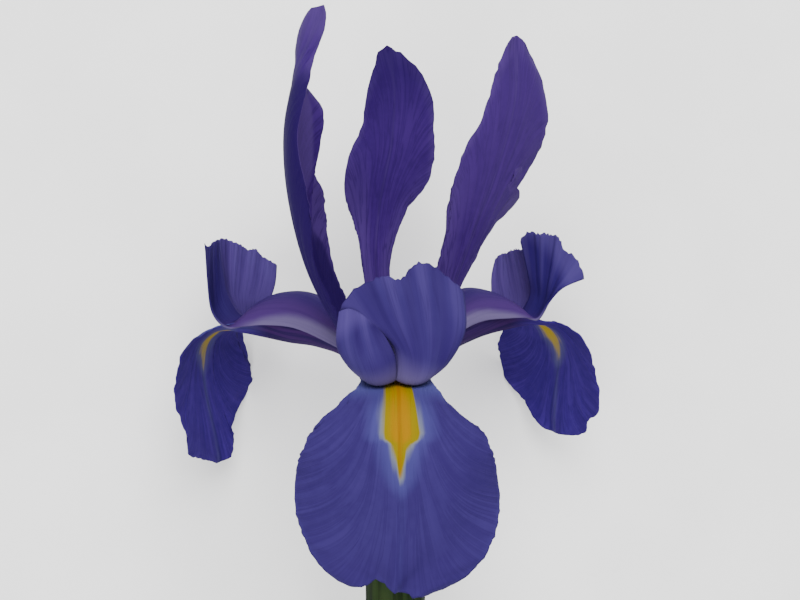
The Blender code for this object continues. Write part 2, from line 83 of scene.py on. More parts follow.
# Flat patterns: distance from the base and half width, from the base to the tip.
HAFT = [(0, 1.3), (6, 2.8), (14, 5.6), (22, 7.7), (29, 7.8), (34, 7), (39, 6)]
FRONT_RIGHT = HAFT + [
    (45.3, 6.1), (49.3, 7.2), (52.3, 8.9), (55.4, 12), (57.9, 14.6), (61.4, 16.2), (65.9, 17.1),
    (70.9, 17.4), (74.9, 16.4), (78.4, 14.4), (81.9, 11), (83.9, 7.2), (84.8, 3.8), (84.1, 0)]
FRONT_LEFT = HAFT + [
    (45.3, 6.1), (48.8, 6.9), (52.3, 8.9), (55.6, 12.5), (58.9, 14.9), (62.9, 16.5), (67.4, 17.1),
    (71.9, 16.7), (75.9, 15.2), (78.9, 13.6), (81.4, 11.2), (83.2, 8.2), (83.5, 5.5), (82.5, 2.6),
    (84.1, 0)]
RIGHT_BACK = HAFT + [
    (42.5, 6.3), (46, 9.5), (50.3, 14.2), (55, 17.2), (60, 18.2), (65, 17.2), (68, 14.4),
    (71, 10.3), (74, 7.4), (76.6, 3.5), (77, 0)]
RIGHT_OUT = HAFT + [
    (43, 5.8), (46.5, 7.8), (49.5, 10.8), (53, 13.9), (57, 14), (61, 13.5), (65, 15.1),
    (69.5, 14.6), (72.5, 10.6), (74.4, 10.4), (76, 7.5), (76.8, 3), (77, 0)]
LEFT_OUT = HAFT + [
    (44, 6), (48, 6.8), (52, 9.2), (56, 12.6), (61, 14.4), (66, 14.3), (71, 13.3),
    (75, 13.2), (78.1, 14.4), (80.2, 10), (82.2, 5), (83.3, 2), (83.3, 0)]
LEFT_BACK = HAFT + [
    (43, 7), (47.5, 9), (52, 10.9), (57, 13.2), (62, 14.6), (66, 15.5), (69, 14),
    (72, 9.8), (76, 5.4), (81.1, 4.2), (83.1, 2.6), (83.3, 0)]
HAFT_CURL = [(0, 0.2), (0.2, 0.19), (0.34, 0.185), (0.48, 0.2), (0.52, 0.13), (0.56, 0.045),
             (0.6, 0.005), (0.66, -0.022), (0.8, -0.02), (1, -0.018)]

# Every petal: azimuth round the stem from the front, degrees; spine as (out, sideways, up); haft: where
# the blade starts; split: share of the rows in the haft; side: share of the outline where the blade's
# side passes into its tip; wave as (height, count, phase); curl across it and roll, degrees, along it.
# KINDS holds what the petals of one kind share.
KINDS = {
    "fall": dict(side=0.55, split=0.42, relief=(0.9, 0.04), keel=0.25),
    "standard": dict(
        haft=25, side=0.55, split=0.24, grid=(190, 71), relief=(0.7, 0.045), keel=0.2,
        midrib=[(0, 0), (1, 0)], curl=[(0, 0.2), (0.4, 0.12), (0.7, 0.03), (1, 0.02)]),
}
PETALS = {
    "fall_front": dict(
        azimuth=0.5, right=FRONT_RIGHT, left=FRONT_LEFT, haft=46, side=0.58, wave=(0.6, 3.5, 0.4),
        spine=[(3.6, 0, 0.5), (5.8, 0, 6.8), (11.4, 0, 12.6), (21.8, 0, 16), (33, 0, 17.5), (41, 0, 17.9),
               (46, 0, 17.4), (50.3, 0, 15), (52.9, 0, 10.5), (53.85, 0, 3.5), (53.5, 0, -4),
               (52.6, -0.3, -12)],
        curl=[(0, 0.2), (0.2, 0.2), (0.36, 0.18), (0.44, 0.1), (0.52, 0.03), (0.65, -0.02), (1, -0.02)]),
    "fall_right": dict(
        azimuth=125, right=RIGHT_BACK, left=RIGHT_OUT, haft=38, wave=(0.6, 3, 1.1),
        spine=[(3.6, 0, 0.5), (6, 0, 7.4), (10.5, 0, 14.3), (19.8, 0, 18.1), (30, 0, 19.6), (37, 0, 20.2),
               (41.8, 0, 19.8), (45.7, 0, 16.3), (47.7, 0, 10), (47.7, 0, 2), (46.6, 0, -8.6)],
        curl=HAFT_CURL),
    "fall_left": dict(
        azimuth=-115, right=LEFT_OUT, left=LEFT_BACK, haft=40, wave=(0.6, 3, 2.3),
        spine=[(3.6, 0, 0.5), (5.9, 0, 7.8), (10.2, 0, 14.7), (17.9, 0, 17.1), (25, 0, 17.6), (32, 0, 18.4),
               (38, 0, 19.1), (43, 0, 19.2), (46.8, 0, 16.9), (48.7, 0, 11), (48.2, 0, 3), (46.2, 0, -5),
               (43.8, 0, -14.5)], curl=HAFT_CURL),
    "standard_back": dict(
        azimuth=183, wave=(0.5, 5, 0.2),
        right=[(0, 1), (10, 1.8), (25, 2.7), (35, 3), (40, 3.8), (44.5, 6.1), (49, 8.3), (54, 8.9),
               (58.5, 8.7), (65, 7.1), (71, 6.5), (76, 5.6), (80.5, 3.6), (83.4, 2), (84.45, 0)],
        left=[(0, 1), (10, 1.8), (25, 2.7), (35, 2.9), (41, 3.6), (46, 4.8), (50, 7.5), (55, 9.8),
              (60, 10), (66, 9.1), (72, 8.5), (76, 6.9), (80, 4.5), (83.2, 2), (84.45, 0)],
        spine=[(4, 0, 1), (5.5, 0.5, 12), (8.5, 2.4, 24), (11, 3.8, 35), (13, 2.8, 48), (15.5, 0, 62),
               (18, -0.6, 74), (20, 1.2, 84.4)]),
    "standard_right": dict(
        azimuth=62, wave=(0.35, 5, 1.7),
        right=[(0, 1), (10, 1.8), (25, 4), (36, 6), (42.5, 7.4), (47, 10.1), (51, 12.6), (53.2, 10.4),
               (55.2, 6), (57.4, 4.6), (59.4, 7.6), (61.8, 10.9), (65, 11.1), (69, 10.2),
               (73, 8.4), (77, 6.4), (80, 3.4), (82, 1.4), (82.8, 0)],
        left=[(0, 1), (10, 1.8), (25, 3.6), (35, 5.6), (42, 6.5), (48, 8), (55, 8.5), (60, 8.3), (64, 6.9),
              (70, 6.3), (75, 5.4), (79, 3.8), (82, 1.8), (82.8, 0)],
        spine=[(4, 0, 1), (6, 0, 12), (10.6, 0, 24), (14.9, 0, 35), (19.2, 0, 46), (22.9, 0, 56),
               (26.1, 0, 68), (26.5, 0, 79.5)],
        roll=[(0, 0), (0.3, -5), (0.6, -24), (1, -24)]),
    "standard_left": dict(
        azimuth=-58, haft=18, split=0.2, wave=(0.3, 5, 0.9),
        right=[(0, 1), (10, 1.8), (25, 3.8), (38, 5.6), (50, 8), (60, 8.8), (70, 8), (77, 5.1),
               (82, 3.1), (87, 2.6), (90, 1.6), (91.7, 0)],
        left=[(0, 1), (10, 1.8), (18, 4.4), (26, 7.5), (34, 8), (41, 8.8), (48, 9.8), (53, 9.9),
              (57, 8.3), (61.5, 5.7), (65, 6.7), (67.5, 8.5), (70, 10), (73, 10.4), (76, 9.7), (79, 8.2),
              (81.5, 6.9), (84, 6.2), (87, 5.2), (89.6, 3.7), (91.7, 0)],
        spine=[(4, 0, 1), (5.5, 0, 8), (9.2, 0, 16), (14.4, 0, 24), (19.9, 0, 34), (23.1, 0, 44),
               (24.6, 0, 54), (24.4, 0, 64), (22.4, 0, 73), (19.2, 0, 80), (16.5, 0, 86.4)],
        curl=[(0, 0.2), (0.4, 0.14), (0.7, 0.12), (1, 0.1)],
        curl_left=[(0, 0.2), (0.25, 0.2), (0.4, 0.17), (0.7, 0.15), (0.82, 0.13), (0.9, 0.06), (1, 0.05)],
        roll=[(0, 0), (0.25, -18), (0.5, -28), (0.78, -29), (0.86, -6), (0.95, 18), (1, 26)]),
}

# Style arms. The keel and the edge run from the column to where the two crest lobes part; the
# inner and outer borders of each lobe follow. Lobe "p" is on the +sideways side, "n" on the other.
# bulge: how far the lobe's middle stands off, (out, sideways, up), at the keel's end and each row after.
# frill: how many large folds fan out over the lobe, their phase and their height.
# cut: share of the rows that the crest's margin is cut back by, from the slit to the outer border.
# tone: from -1, deep blue, to 1, greyer pink, partly painted shade and painted light on the lobe; rim: how
# pale the margin is, partly a painted highlight; teeth: how deep its teeth are.
# ARM_ROUND: an arm's section at each of those points, from 1, a quarter oval, to 0, straight across.
ARM_ROUND = [1, 1, 1, 1, 1, 0.85, 0.4, 0.1, 0, 0]
ARMS = {
    "style_arm_front": dict(
        azimuth=0.5,
        keel=[(2.2, 0, 9.2), (7, 0, 17.5), (13.5, 0, 24), (21.5, 0, 27), (29.5, 0, 26.6), (36.5, 0, 24),
              (43.2, -0.1, 19.5)],
        edge=[(1.55, 1.5, 9), (7.5, 3.4, 14.8), (13, 5.9, 18.6), (21, 5.9, 20.6), (28.5, 5.9, 20.8),
              (35, 5.9, 20.3), (41.5, 5.7, 19.9)],
        p=dict(inner=[(43, -0.6, 25), (41.8, -5.2, 28.3), (40.3, -9.5, 30.6)],
               outer=[(41.5, 8.6, 21.8), (40.5, 11.5, 27), (38, 11.5, 33.5)],
               bulge=[(1.5, 0, -0.9), (2, 0, -1), (1.5, 0, 1.6), (0, 0, 7.6)], frill=(3.5, 0.3, 0.3),
               cut=[(0, 0), (0.1, 0), (0.2, 0.012), (0.3, 0.02), (0.42, 0.034), (0.53, 0.025),
                    (0.61, 0.01), (0.68, 0.005), (0.76, 0.006), (0.86, 0.01), (1, 0.003)],
               tone=-0.15, rim=0.1, teeth=1),
        n=dict(inner=[(44.8, -0.2, 23), (44.3, -1.5, 26), (42.3, -3.4, 28.2)],
               outer=[(42.5, -7.8, 21.4), (41.9, -9.8, 25), (41.1, -9.4, 31)],
               bulge=[(1.5, 0, -0.9), (2, 0, -1), (1.2, 0, 0.2), (0, 0, 0.6)], frill=(2.5, 2.0, 0.05),
               cut=[(0, 0), (0.8, 0), (1, 0.012)], tone=0, rim=0.7, teeth=0.15)),
    "style_arm_right": dict(
        azimuth=125,
        keel=[(2.2, 0, 9.2), (7, 0, 18.5), (12.5, 0, 25.8), (18.6, 0, 29.2), (25.5, 0, 28.3),
              (30.5, 0, 26.1), (34.5, 0, 22.8)],
        edge=[(1.55, 1.5, 9), (7.5, 3.4, 15.8), (12.5, 5.9, 20.8), (19, 5.9, 22.8), (26.5, 6.2, 22.9),
              (31, 6.4, 22.7), (34.6, 6.4, 22.4)],
        p=dict(inner=[(38.9, 0.5, 27), (38.7, 0.7, 32.3), (36.5, 0.9, 37.3)],
               outer=[(32.8, 6.9, 25), (33, 8, 30), (34.6, 8.6, 35.1)],
               bulge=[(1.2, 0, -0.8), (1.8, 0, -0.5), (1, 0, 0), (0, 0, 1.5)], frill=(3, 1.2, 0.18),
               cut=[(0, 0), (0.4, 0.006), (0.6, 0.012), (0.8, 0.004), (1, 0.01)], tone=1, rim=0.2, teeth=1),
        n=dict(inner=[(37.2, -1, 27.3), (36, -1.2, 32.8), (33.4, -1.2, 40.4)],
               outer=[(37, -7.2, 25.8), (39.6, -9, 29), (45.2, -11.2, 31.3)],
               bulge=[(1.2, 0, -0.8), (1.5, 0, -1), (1, 0, 0.5), (0, 0, 5.8)], frill=(3.5, 0.6, 0.3),
               cut=[(0, 0.006), (0.16, 0), (0.3, 0.01), (0.5, 0.001), (0.6, 0.003), (0.7, 0.013),
                    (0.8, 0.003), (0.9, 0), (1, 0.006)], tone=-0.9, rim=0.7, teeth=1.3)),
    "style_arm_left": dict(
        azimuth=-115,
        keel=[(2.2, 0, 9.2), (7, 0, 18), (13, 0, 24.8), (20.6, 0, 28.4), (28, 0, 28.2), (33.5, 0, 25.9),
              (37.9, 0, 22.6)],
        edge=[(1.55, 1.5, 9), (7.5, 3.4, 15.2), (13, 5.9, 19), (20.7, 6.1, 21.6), (27.9, 6.2, 21.9),
              (33.5, 6.2, 21.3), (38.3, 6.2, 21)],
        p=dict(inner=[(41, 1.2, 27), (42.1, 1.8, 33), (43, 1.6, 40)],
               outer=[(41.7, 6.5, 24.2), (41.9, 8, 31), (41.7, 9, 39.5)],
               bulge=[(1.2, 0, -0.8), (1.5, 0, -1), (0.8, 0, 0), (0, 0, 0.5)], frill=(2.5, 0.9, 0.12),
               cut=[(0, 0), (0.35, 0.004), (0.66, 0.014), (0.85, 0.01), (1, 0)],
               tone=-0.6, rim=0.3, teeth=1.2),
        n=dict(inner=[(42.5, -0.4, 27.3), (44, -0.5, 33.6), (44.7, -0.5, 40.4)],
               outer=[(35.9, -7.4, 25.5), (35.2, -9, 29.2), (35.8, -10.9, 33.9)],
               bulge=[(1.2, 0, -0.8), (1.8, 0, -0.5), (1.2, 0, 0), (0, 0, 1.4)], frill=(3.5, 1.5, 0.22),
               cut=[(0, 0), (0.3, 0.004), (0.5, 0.01), (0.64, 0), (0.8, 0.01), (1, 0)], tone=0.6,
               rim=0.3, teeth=1.2)),
}
CREST_START = 0.7  # share of the rows where the crest's folds begin
FINE_PLEAT = 0.4  # height of a crest's smaller folds, as a share of the large ones
RIM_RUFFLE = 0.14  # mm, at a crest's margin
TOOTH_DEPTH = 0.0022  # share of the arm's rows that the fine teeth of a crest are cut back by

# Stamens: centre line as (out, up) and half widths (sideways, thickness).
STAMEN_LINE = [(3.1, 2.2), (3.7, 6.5), (5.6, 11.5), (9.5, 16), (14, 19.6), (18, 21.4), (20, 22),
               (24, 22.9), (28, 23.1), (30.5, 22.8)]
STAMEN_WIDTH = [(0.5, 0.4)] * 6 + [(1, 0.6), (1.1, 0.65), (1, 0.6), (0.4, 0.3)]
# Ovary: share of the way up, radius.
OVARY_PROFILE = [(0, 3.2), (0.15, 3.6), (0.45, 4.2), (0.75, 3.8), (0.88, 3.7), (0.95, 4.2), (1, 4.1)]

# Bracts: height up the stem, radius, share of the way round, from the foot to the tip.
SPATHES = {
    "spathe_inner": dict(
        azimuth=160,
        rows=[(-70, 4.1, 0.66), (-66, 4.25, 0.64), (-60, 4.6, 0.6), (-46, 5, 0.6), (-30, 5.1, 0.56),
              (-16, 5.2, 0.4), (-8, 5.3, 0.2), (-4.5, 5.5, 0.06)]),
    "spathe_outer": dict(
        azimuth=-20,
        rows=[(-74, 4.15, 0.8), (-71, 4.4, 0.76), (-65, 5.4, 0.68), (-50, 6.1, 0.64), (-34, 6.2, 0.6),
              (-18, 6.3, 0.46), (-9, 6.5, 0.26), (-3.5, 7, 0.06)]),
}

# Finer looks of each petal: mesh rows and columns; marginal teeth as (depth, pitch, phase); ruffle at
# the rim as (height, pitch, shift); vein ridges as (pitch at the fan's start, height); keel height;
# where the veins start to fan out and how fast; sideways run of the midrib; the yellow mark as
# (distance, centre, half width), on the upper face and where it shows underneath. ridge: a fall's raised
# yellow ridge, from and to, and its height. inner, outer: painted shade, 1, or painted light, -1, on a
# standard's faces along it; window: a painted lit crescent in the inner face's painted shade, from and
# to, and its distance from the midline.
FINE = {
    "fall_front": dict(
        grid=(190, 171), teeth=(0.13, 2.3, 0.7), ruffle=(0.14, 5.5, 0.4), keel=0.2,
        fan=(50, 0.0117),
        midrib=[(0, 0), (46, 0.2), (50, 0.4), (61, 0.5), (65, 0.6), (69, 0.8), (84, 0.6)],
        mark=[(18, 0, 1.2), (44, 0.2, 2.1), (47.2, 0.3, 2.2), (51, 0.45, 2.45), (55, 0.6, 2.8),
              (58.3, 0.8, 3), (59.3, 0.7, 2.6), (60, 0.7, 1.55), (61.2, 0.55, 1.15), (62.2, 0.5, 0.9),
              (63.5, 0.45, 0.5), (65, 0.6, 0.1), (66.5, 0.7, -0.7), (69, 0.8, -3)],
        under=[(40, 0, -3), (50, 0.5, 0.8), (58, 0.5, 1), (63, 0.5, 0), (66, 0.5, -3)]),
    "fall_right": dict(
        grid=(150, 121), teeth=(0.11, 2.6, 1.9), ruffle=(0.16, 6, 1.4),
        fan=(47, 0.012), ridge=(41, 48, 0.8),
        midrib=[(0, 0), (46, -1), (55, -0.6), (59, -0.4), (63, 0.6), (68, 1.3), (73, 2), (77, 2)],
        mark=[(36, -1, 2), (41, -2, 4), (46, -1, 4), (54, 0.4, 2.8), (56, 0.5, 1), (60, 0.7, 0),
              (62, 0.8, -3)],
        under=[(45, 0.6, -1), (47.5, 0.3, 0.8), (49.6, -0.2, 2.1), (53, -0.2, 2.4), (55.5, -0.5, 1.5),
               (57.6, -0.5, 0.8), (59.6, 0.1, 0.15), (61.5, 0.5, -1.2)]),
    "fall_left": dict(
        grid=(150, 121), teeth=(0.16, 2.4, 2.6), ruffle=(0.2, 5, 2.2),
        fan=(48, 0.012), ridge=(43, 51, 0.8),
        midrib=[(0, 0), (46, 0.8), (55, 1.2), (63, 1.2), (70, 0.6), (82, 0)],
        mark=[(36, 1, 2), (42, 2, 4), (48, 1.2, 4), (56, 0.6, 2.8), (58, 0.7, 1), (62, 0.8, 0),
              (64, 0.8, -3)],
        under=[(43, 5, -1), (45.8, 4.2, 0.4), (50.7, 2.4, 1.5), (54.3, 2.2, 1.8), (56.9, 2.3, 1.6),
               (59.1, 1.7, 0.8), (61.1, 1.2, 0), (63, 0.9, -1.2)]),
    # The standards' inner and outer tables paint shade and light: the back standard darker at its top, the
    # right one paler, the left one's outer face and lower inner face in painted shade.
    "standard_back": dict(
        teeth=(0.14, 3, 0.5), ruffle=(0.12, 6, 0.3), fan=(32, 0.013),
        inner=[(0, -0.2), (38, 0), (48, 0.3), (66, 0.35), (78, 0.65), (85, 0.7)],
        outer=[(0, 0), (85, 0)]),
    "standard_right": dict(
        teeth=(0.14, 3, 1.5), ruffle=(0.12, 6, 1.3), fan=(32, 0.013),
        inner=[(0, -0.2), (83, -0.6)], outer=[(0, 0), (36, 0), (50, -0.4), (83, -0.5)]),
    "standard_left": dict(
        teeth=(0.1, 3.6, 2.5), ruffle=(0.03, 6, 2.3), fan=(26, 0.011),
        inner=[(0, 1), (42, 0.8), (50, -0.2), (57, -0.9), (76, -1), (85, -0.6), (92, -0.6)],
        outer=[(0, 1), (73, 1), (79, 0.1), (86, -0.7), (92, -0.8)], window=(41, 58, -5.6)),
}
# Azimuth of each stamen, the same as its arm's.
STAMENS = {"front": 0.5, "right": 125, "left": -115}
# Rows and columns of the sheets; sides and rows of the turned pieces.
ARM_GRID = (150, 46)
SPATHE_GRID = (150, 61)
CAD_STEM_SIDES = 32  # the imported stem's, whose lowest corner places the whole flower
STEM_SIDES, OVARY_SIDES, COLUMN_SIDES, STAMEN_SIDES = 96, 72, 36, 28
STEM_ROWS, OVARY_ROWS, COLUMN_ROWS, STAMEN_ROWS = 60, 50, 20, 110

# Colours, linear red, green, blue.
FALL_DEEP = (0.0195, 0.0113, 0.074)
FALL_LIGHT = (0.0282, 0.0178, 0.097)
FALL_VEIN = (0.018, 0.0095, 0.072)
FALL_PALE = (0.038, 0.028, 0.135)
# pale blue halo round the signal, also painted light on the neck under the crest
FALL_HALO_AND_LIGHT = (0.052, 0.054, 0.19)
SIGNAL_MIDDLE = (0.225, 0.108, 0.0001)
SIGNAL_SIDE = (0.155, 0.118, 0.0001)
SIGNAL_FRINGE = (0.13, 0.145, 0.15)
SIGNAL_LINE = (0.17, 0.065, 0.0005)
UNDER_DEEP = (0.021, 0.008, 0.105)
UNDER_LIGHT = (0.034, 0.0155, 0.145)
UNDER_VEIN = (0.013, 0.0055, 0.075)
UNDER_MARK = (0.27, 0.19, 0.004)
UNDER_CREAM = (0.13, 0.115, 0.1)
UNDER_HALO = (0.06, 0.062, 0.13)
HAFT_DARK = (0.014, 0.006, 0.046)
HAFT_LIGHT = (0.028, 0.0095, 0.064)
HAFT_EDGE = (0.026, 0.019, 0.018)
STANDARD_DEEP = (0.0185, 0.0038, 0.072)
STANDARD_LIGHT = (0.032, 0.0098, 0.102)
STANDARD_VEIN = (0.0135, 0.003, 0.055)
# pale rim of a standard, also its painted light
STANDARD_PALE_AND_LIGHT = (0.05, 0.026, 0.12)
ARM_BACK = (0.022, 0.0095, 0.08)
ARM_FLANK = (0.041, 0.017, 0.098)
# whitish band and underside of an arm, partly a painted highlight
ARM_BAND_AND_HIGHLIGHT = (0.1, 0.08, 0.165)
# dark keel and veins, also the painted shade in a crest's cleft and folds
ARM_KEEL_AND_SHADE = (0.012, 0.005, 0.05)
CREST_DEEP = (0.018, 0.0095, 0.071)
CREST_LIGHT = (0.027, 0.0175, 0.092)
# deep blue of a crest lobe, partly painted shade
CREST_BLUE_AND_SHADE = (0.012, 0.004, 0.07)
# greyer pink of a crest lobe, partly painted light
CREST_PINK_AND_LIGHT = (0.075, 0.044, 0.19)
# pale crest rim, partly a painted highlight, and the painted highlight on fold ridges
CREST_RIM_AND_HIGHLIGHT = (0.055, 0.038, 0.15)
# the stem's greens, darker than its own colour: partly painted shade
STEM_GREEN_AND_SHADE = ((0.003, 0.007, 0.0025), (0.0075, 0.017, 0.005), (0.02, 0.038, 0.01))
OVARY_GREEN = ((0.012, 0.028, 0.009), (0.03, 0.06, 0.016), (0.06, 0.1, 0.03))
SPATHE_DARK = (0.0045, 0.0095, 0.0035)
SPATHE_LIGHT = (0.014, 0.026, 0.009)
SPATHE_PALE = (0.032, 0.05, 0.015)
# painted shade on the standards
STANDARD_PAINTED_SHADE = (0.0082, 0.0014, 0.044)
SPATHE_DRY = (0.2, 0.16, 0.09)
COLUMN_PALE = (0.2, 0.15, 0.28)
COLUMN_DEEP = (0.09, 0.06, 0.18)
ANTHER_DARK = (0.2, 0.13, 0.03)
ANTHER_LIGHT = (0.4, 0.3, 0.1)

GLOSS = 0.03  # specular level of every skin

# Light and camera. The camera's place is in flower axes, mm and degrees.
TABLE_SIZE = 4.0
TABLE_PALE = ((0.86, 0.86, 0.86), (0.9, 0.9, 0.9))
ROOM_LIGHT = 1.0
LAMPS = {"top_lamp": ((0.1, 0.5, 0.8), 15), "fill_lamp": ((-0.35, -0.45, 0.65), 7)}  # metres, watts
LAMP_SIZE = 0.8
LAMP_AIM = 0.04  # metres above the table
CAMERA_SIDE = 1.0
CAMERA_REACH = 198.0
CAMERA_HEIGHT = 28.0
CAMERA_DROP = 5.9
CAMERA_LENS = 42.57
CAMERA_SENSOR = 36
CAMERA_NEAR = 0.005


# ---------------------------------------------------------------- curves and sheets

def unit(vectors):
    return vectors / np.linalg.norm(vectors, axis=-1, keepdims=True)


def smooth(low, high, x):
    """Smoothstep: 0 below low, 1 above high, 3t^2 - 2t^3 between."""
    t = np.clip((x - low) / (high - low), 0, 1)
    return t * t * (3 - 2 * t)


def between(ends, share):
    """The first end at share 0, the second at share 1."""
    return ends[0] + (ends[1] - ends[0]) * share


def through(knots, values, x):
    """Smooth curve through the values at the knots: cubic pieces, slopes taken from both neighbours."""
    knots = np.asarray(knots, float)
    values = np.asarray(values, float)
    x = np.asarray(x, float)
    slope = np.gradient(values, knots, axis=0)
    i = np.clip(np.searchsorted(knots, x, side="right") - 1, 0, len(knots) - 2)
    step = knots[i + 1] - knots[i]
    t = (x - knots[i]) / step
    if values.ndim == 2:
        step = step[..., None]
        t = t[..., None]
    ends = (2 * t**3 - 3 * t**2 + 1) * values[i] + (3 * t**2 - 2 * t**3) * values[i + 1]
    return ends + step * ((t**3 - 2 * t**2 + t) * slope[i] + (t**3 - t**2) * slope[i + 1])


def path(points, count=1200):
    """Many points along a smooth curve, with the distance of each from the start."""
    points = np.asarray(points, float)
    chord = np.r_[0, np.cumsum(np.linalg.norm(np.diff(points, axis=0), axis=1))]
    fine = through(chord, points, np.linspace(0, chord[-1], count))
    distance = np.r_[0, np.cumsum(np.linalg.norm(np.diff(fine, axis=0), axis=1))]
    return distance, fine


def along(curve, share):
    distance, points = curve
    d = np.asarray(share) * distance[-1]
    return np.stack([np.interp(d, distance, points[:, j]) for j in range(points.shape[1])], -1)


def toothed(outline, start, depth, pitch, phase):
    """Outline with small rounded teeth: each point moves along the outline's normal by a sine of the
    distance whose phase wanders, plus a finer sine; none before `start` or at the very tip."""
    distance, points = outline
    tangent = unit(np.gradient(points, axis=0))
    normal = np.stack([-tangent[:, 1], tangent[:, 0]], -1)
    turn = 2 * np.pi * distance / pitch
    wander = 1.4 * np.sin(turn / 4.3 + phase) + 0.9 * np.sin(turn / 2.7 + 2 * phase)
    tooth = np.sin(turn + wander) + 0.45 * np.sin(2.3 * turn - wander)
    swell = 0.65 + 0.5 * np.sin(turn / 7.1 + 3 * phase)
    fade = smooth(start, start + 8, distance) * smooth(0, 1.2, distance[-1] - distance)
    return distance, points + normal * (depth * fade * swell * tooth)[:, None]


def half_pattern(s, w, edge, length, spec):
    """Flat half petal for rows s (base 0, margin 1) and columns w (midline 0, edge 1). Up to the split
    the rows cross the haft; past it they widen into the blade, and the last row follows the margin
    from the tip to the edge point at share `side` of the outline."""
    haft, side, split = spec["haft"], spec["side"], spec["split"]
    distance, points = path(edge)
    rising = slice(0, np.argmax(points[:, 0]) + 1)
    haft_share = np.interp(haft, points[rising, 0], distance[rising]) / distance[-1]
    low = np.clip(s / split, 0, 1)
    grow = np.clip((s - split) / (1 - split), 0, 1)
    in_haft = (s < split)[..., None]
    haft_edge = np.stack([low * haft, np.interp(low * haft, points[rising, 0], points[rising, 1])], -1)
    outline = toothed((distance, points), haft, *spec["teeth"])
    edge_point = np.where(in_haft, haft_edge, along(outline, haft_share + grow * (side - haft_share)))
    tip = points[-1]
    middle = np.where(s < split, low * haft, haft + grow * (length - haft))
    middle = np.stack([middle, 0 * s], -1) + (grow**2)[..., None] * (tip - np.array([length, 0]))
    margin = along(outline, 1 - w * (1 - side))
    corner = along(outline, side)
    w = w[..., None]
    reach = (grow**1.5)[..., None]
    return (1 - w) * middle + w * edge_point + reach * (margin - (1 - w) * tip - w * corner)


def bend(p, q, spec):
    """Flat pattern point to (out, sideways, up): p follows the spine, q an arc of the curl across it."""
    distance, points = path(spec["spine"])
    tangent = unit(np.gradient(points, distance, axis=0))
    across = unit(np.array([0.0, 1.0, 0.0]) - tangent * tangent[:, 1:2])
    normal = np.cross(tangent, across)
    roll = through(*zip(*spec.get("roll", [(0, 0), (1, 0)])), distance / distance[-1])
    cos, sin = np.cos(np.radians(roll))[:, None], np.sin(np.radians(roll))[:, None]
    across, normal = across * cos + normal * sin, normal * cos - across * sin
    over = np.clip(p - distance[-1], 0, None)[..., None]
    held = np.clip(p, 0, distance[-1])

    def at(values):
        return np.stack([np.interp(held, distance, values[:, j]) for j in range(3)], -1)

    share = held / distance[-1]
    curl = through(*zip(*spec["curl"]), share)
    curl = np.where(q < 0, through(*zip(*spec.get("curl_left", spec["curl"])), share), curl)
    curl = np.where(np.abs(curl) < 1e-5, 1e-5, curl)
    side = (np.sin(curl * q) / curl)[..., None]
    lift = ((1 - np.cos(curl * q)) / curl)[..., None]
    return at(points) + at(tangent) * over + at(across) * side + at(normal) * lift, at(normal)


def place(points, azimuth):
    """(out, sideways, up) of one petal to the flower's axes."""
    a = math.radians(azimuth)
    out, side, up = np.moveaxis(points, -1, 0)
    x = out * math.sin(a) + side * math.cos(a)
    return np.stack([x, side * math.sin(a) - out * math.cos(a), up], -1)


def lay_down(points):
    """Flower axes to the table: rolled on the stem, then laid back with the stem end on the table."""
    roll = math.radians(LAY_ROLL)
    tilt = math.radians(LAY_TILT)
    x = points[..., 0] * math.cos(roll) - points[..., 1] * math.sin(roll)
    y = points[..., 0] * math.sin(roll) + points[..., 1] * math.cos(roll)
    z = points[..., 2]
    up = z * math.sin(tilt) - y * math.cos(tilt) + BASE_HEIGHT
    return np.stack([x, z * math.cos(tilt) + y * math.sin(tilt), up], -1)


def circle(sides):
    """Angles of points spaced evenly round a ring."""
    return np.linspace(0, 2 * np.pi, sides, endpoint=False)


def rings(heights, radii, sides):
    """Points of a turned rod on the flower's axis: one ring of `sides` points at every height."""
    angle = circle(sides)
    x = radii[:, None] * np.cos(angle)
    y = radii[:, None] * np.sin(angle)
    return np.stack([x, y, heights[:, None] + 0 * x], -1)


def to_table(points):
    """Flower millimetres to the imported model's metres: laid down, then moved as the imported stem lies."""
    return lay_down(np.asarray(points, float)) * MM + OFFSET


stem_top = -OVARY_LENGTH - GAP
stem_ends = rings(np.array([stem_top - STEM_LENGTH, stem_top]), np.array(STEM_RADIUS), CAD_STEM_SIDES)
OFFSET = np.array(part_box("stem")[0]) - lay_down(stem_ends).reshape(-1, 3).min(0) * MM


# ---------------------------------------------------------------- meshes

def sheet_grid(grid, left=-1):
    """Shares over a sheet of rows x columns points: s up it from 0 to 1, w across it from `left` to 1."""
    return np.meshgrid(np.linspace(0, 1, grid[0]), np.linspace(left, 1, grid[1]), indexing="ij")


def grid_quads(rows, columns, wrap=False):
    """Quads of a grid of rows x columns points, row by row; wrap joins the last column to the first."""
    i, j = np.meshgrid(np.arange(rows - 1), np.arange(columns if wrap else columns - 1), indexing="ij")
    right = (j + 1) % columns
    low, high = i * columns, (i + 1) * columns
    return np.stack([low + j, high + j, high + right, low + right], -1).reshape(-1, 4)


def shell(points, quads, thickness):
    """Closed skin round a sheet: every point is doubled, half the thickness to either side along the mean
    normal of its faces, and a strip closes the free border. Upper copies come first."""
    count = len(points)
    corner = points[quads]
    facing = np.cross(corner[:, 2] - corner[:, 0], corner[:, 3] - corner[:, 1])
    normal = np.zeros_like(points)
    np.add.at(normal, quads.ravel(), np.repeat(facing, 4, axis=0))
    half = unit(normal) * thickness[:, None] / 2
    edges = np.stack([quads, np.roll(quads, -1, axis=1)], -1).reshape(-1, 2)
    border = edges[~np.isin(edges @ [count, 1], edges @ [1, count])]
    strip = np.stack([border[:, 1], border[:, 0], border[:, 0] + count, border[:, 1] + count], -1)
    faces = np.concatenate([quads, quads[:, ::-1] + count, strip])
    return np.concatenate([points + half, points - half]), faces


def linked(name, data):
    """A new object in the scene that holds the data."""
    obj = bpy.data.objects.new(name, data)
    bpy.context.scene.collection.objects.link(obj)
    return obj


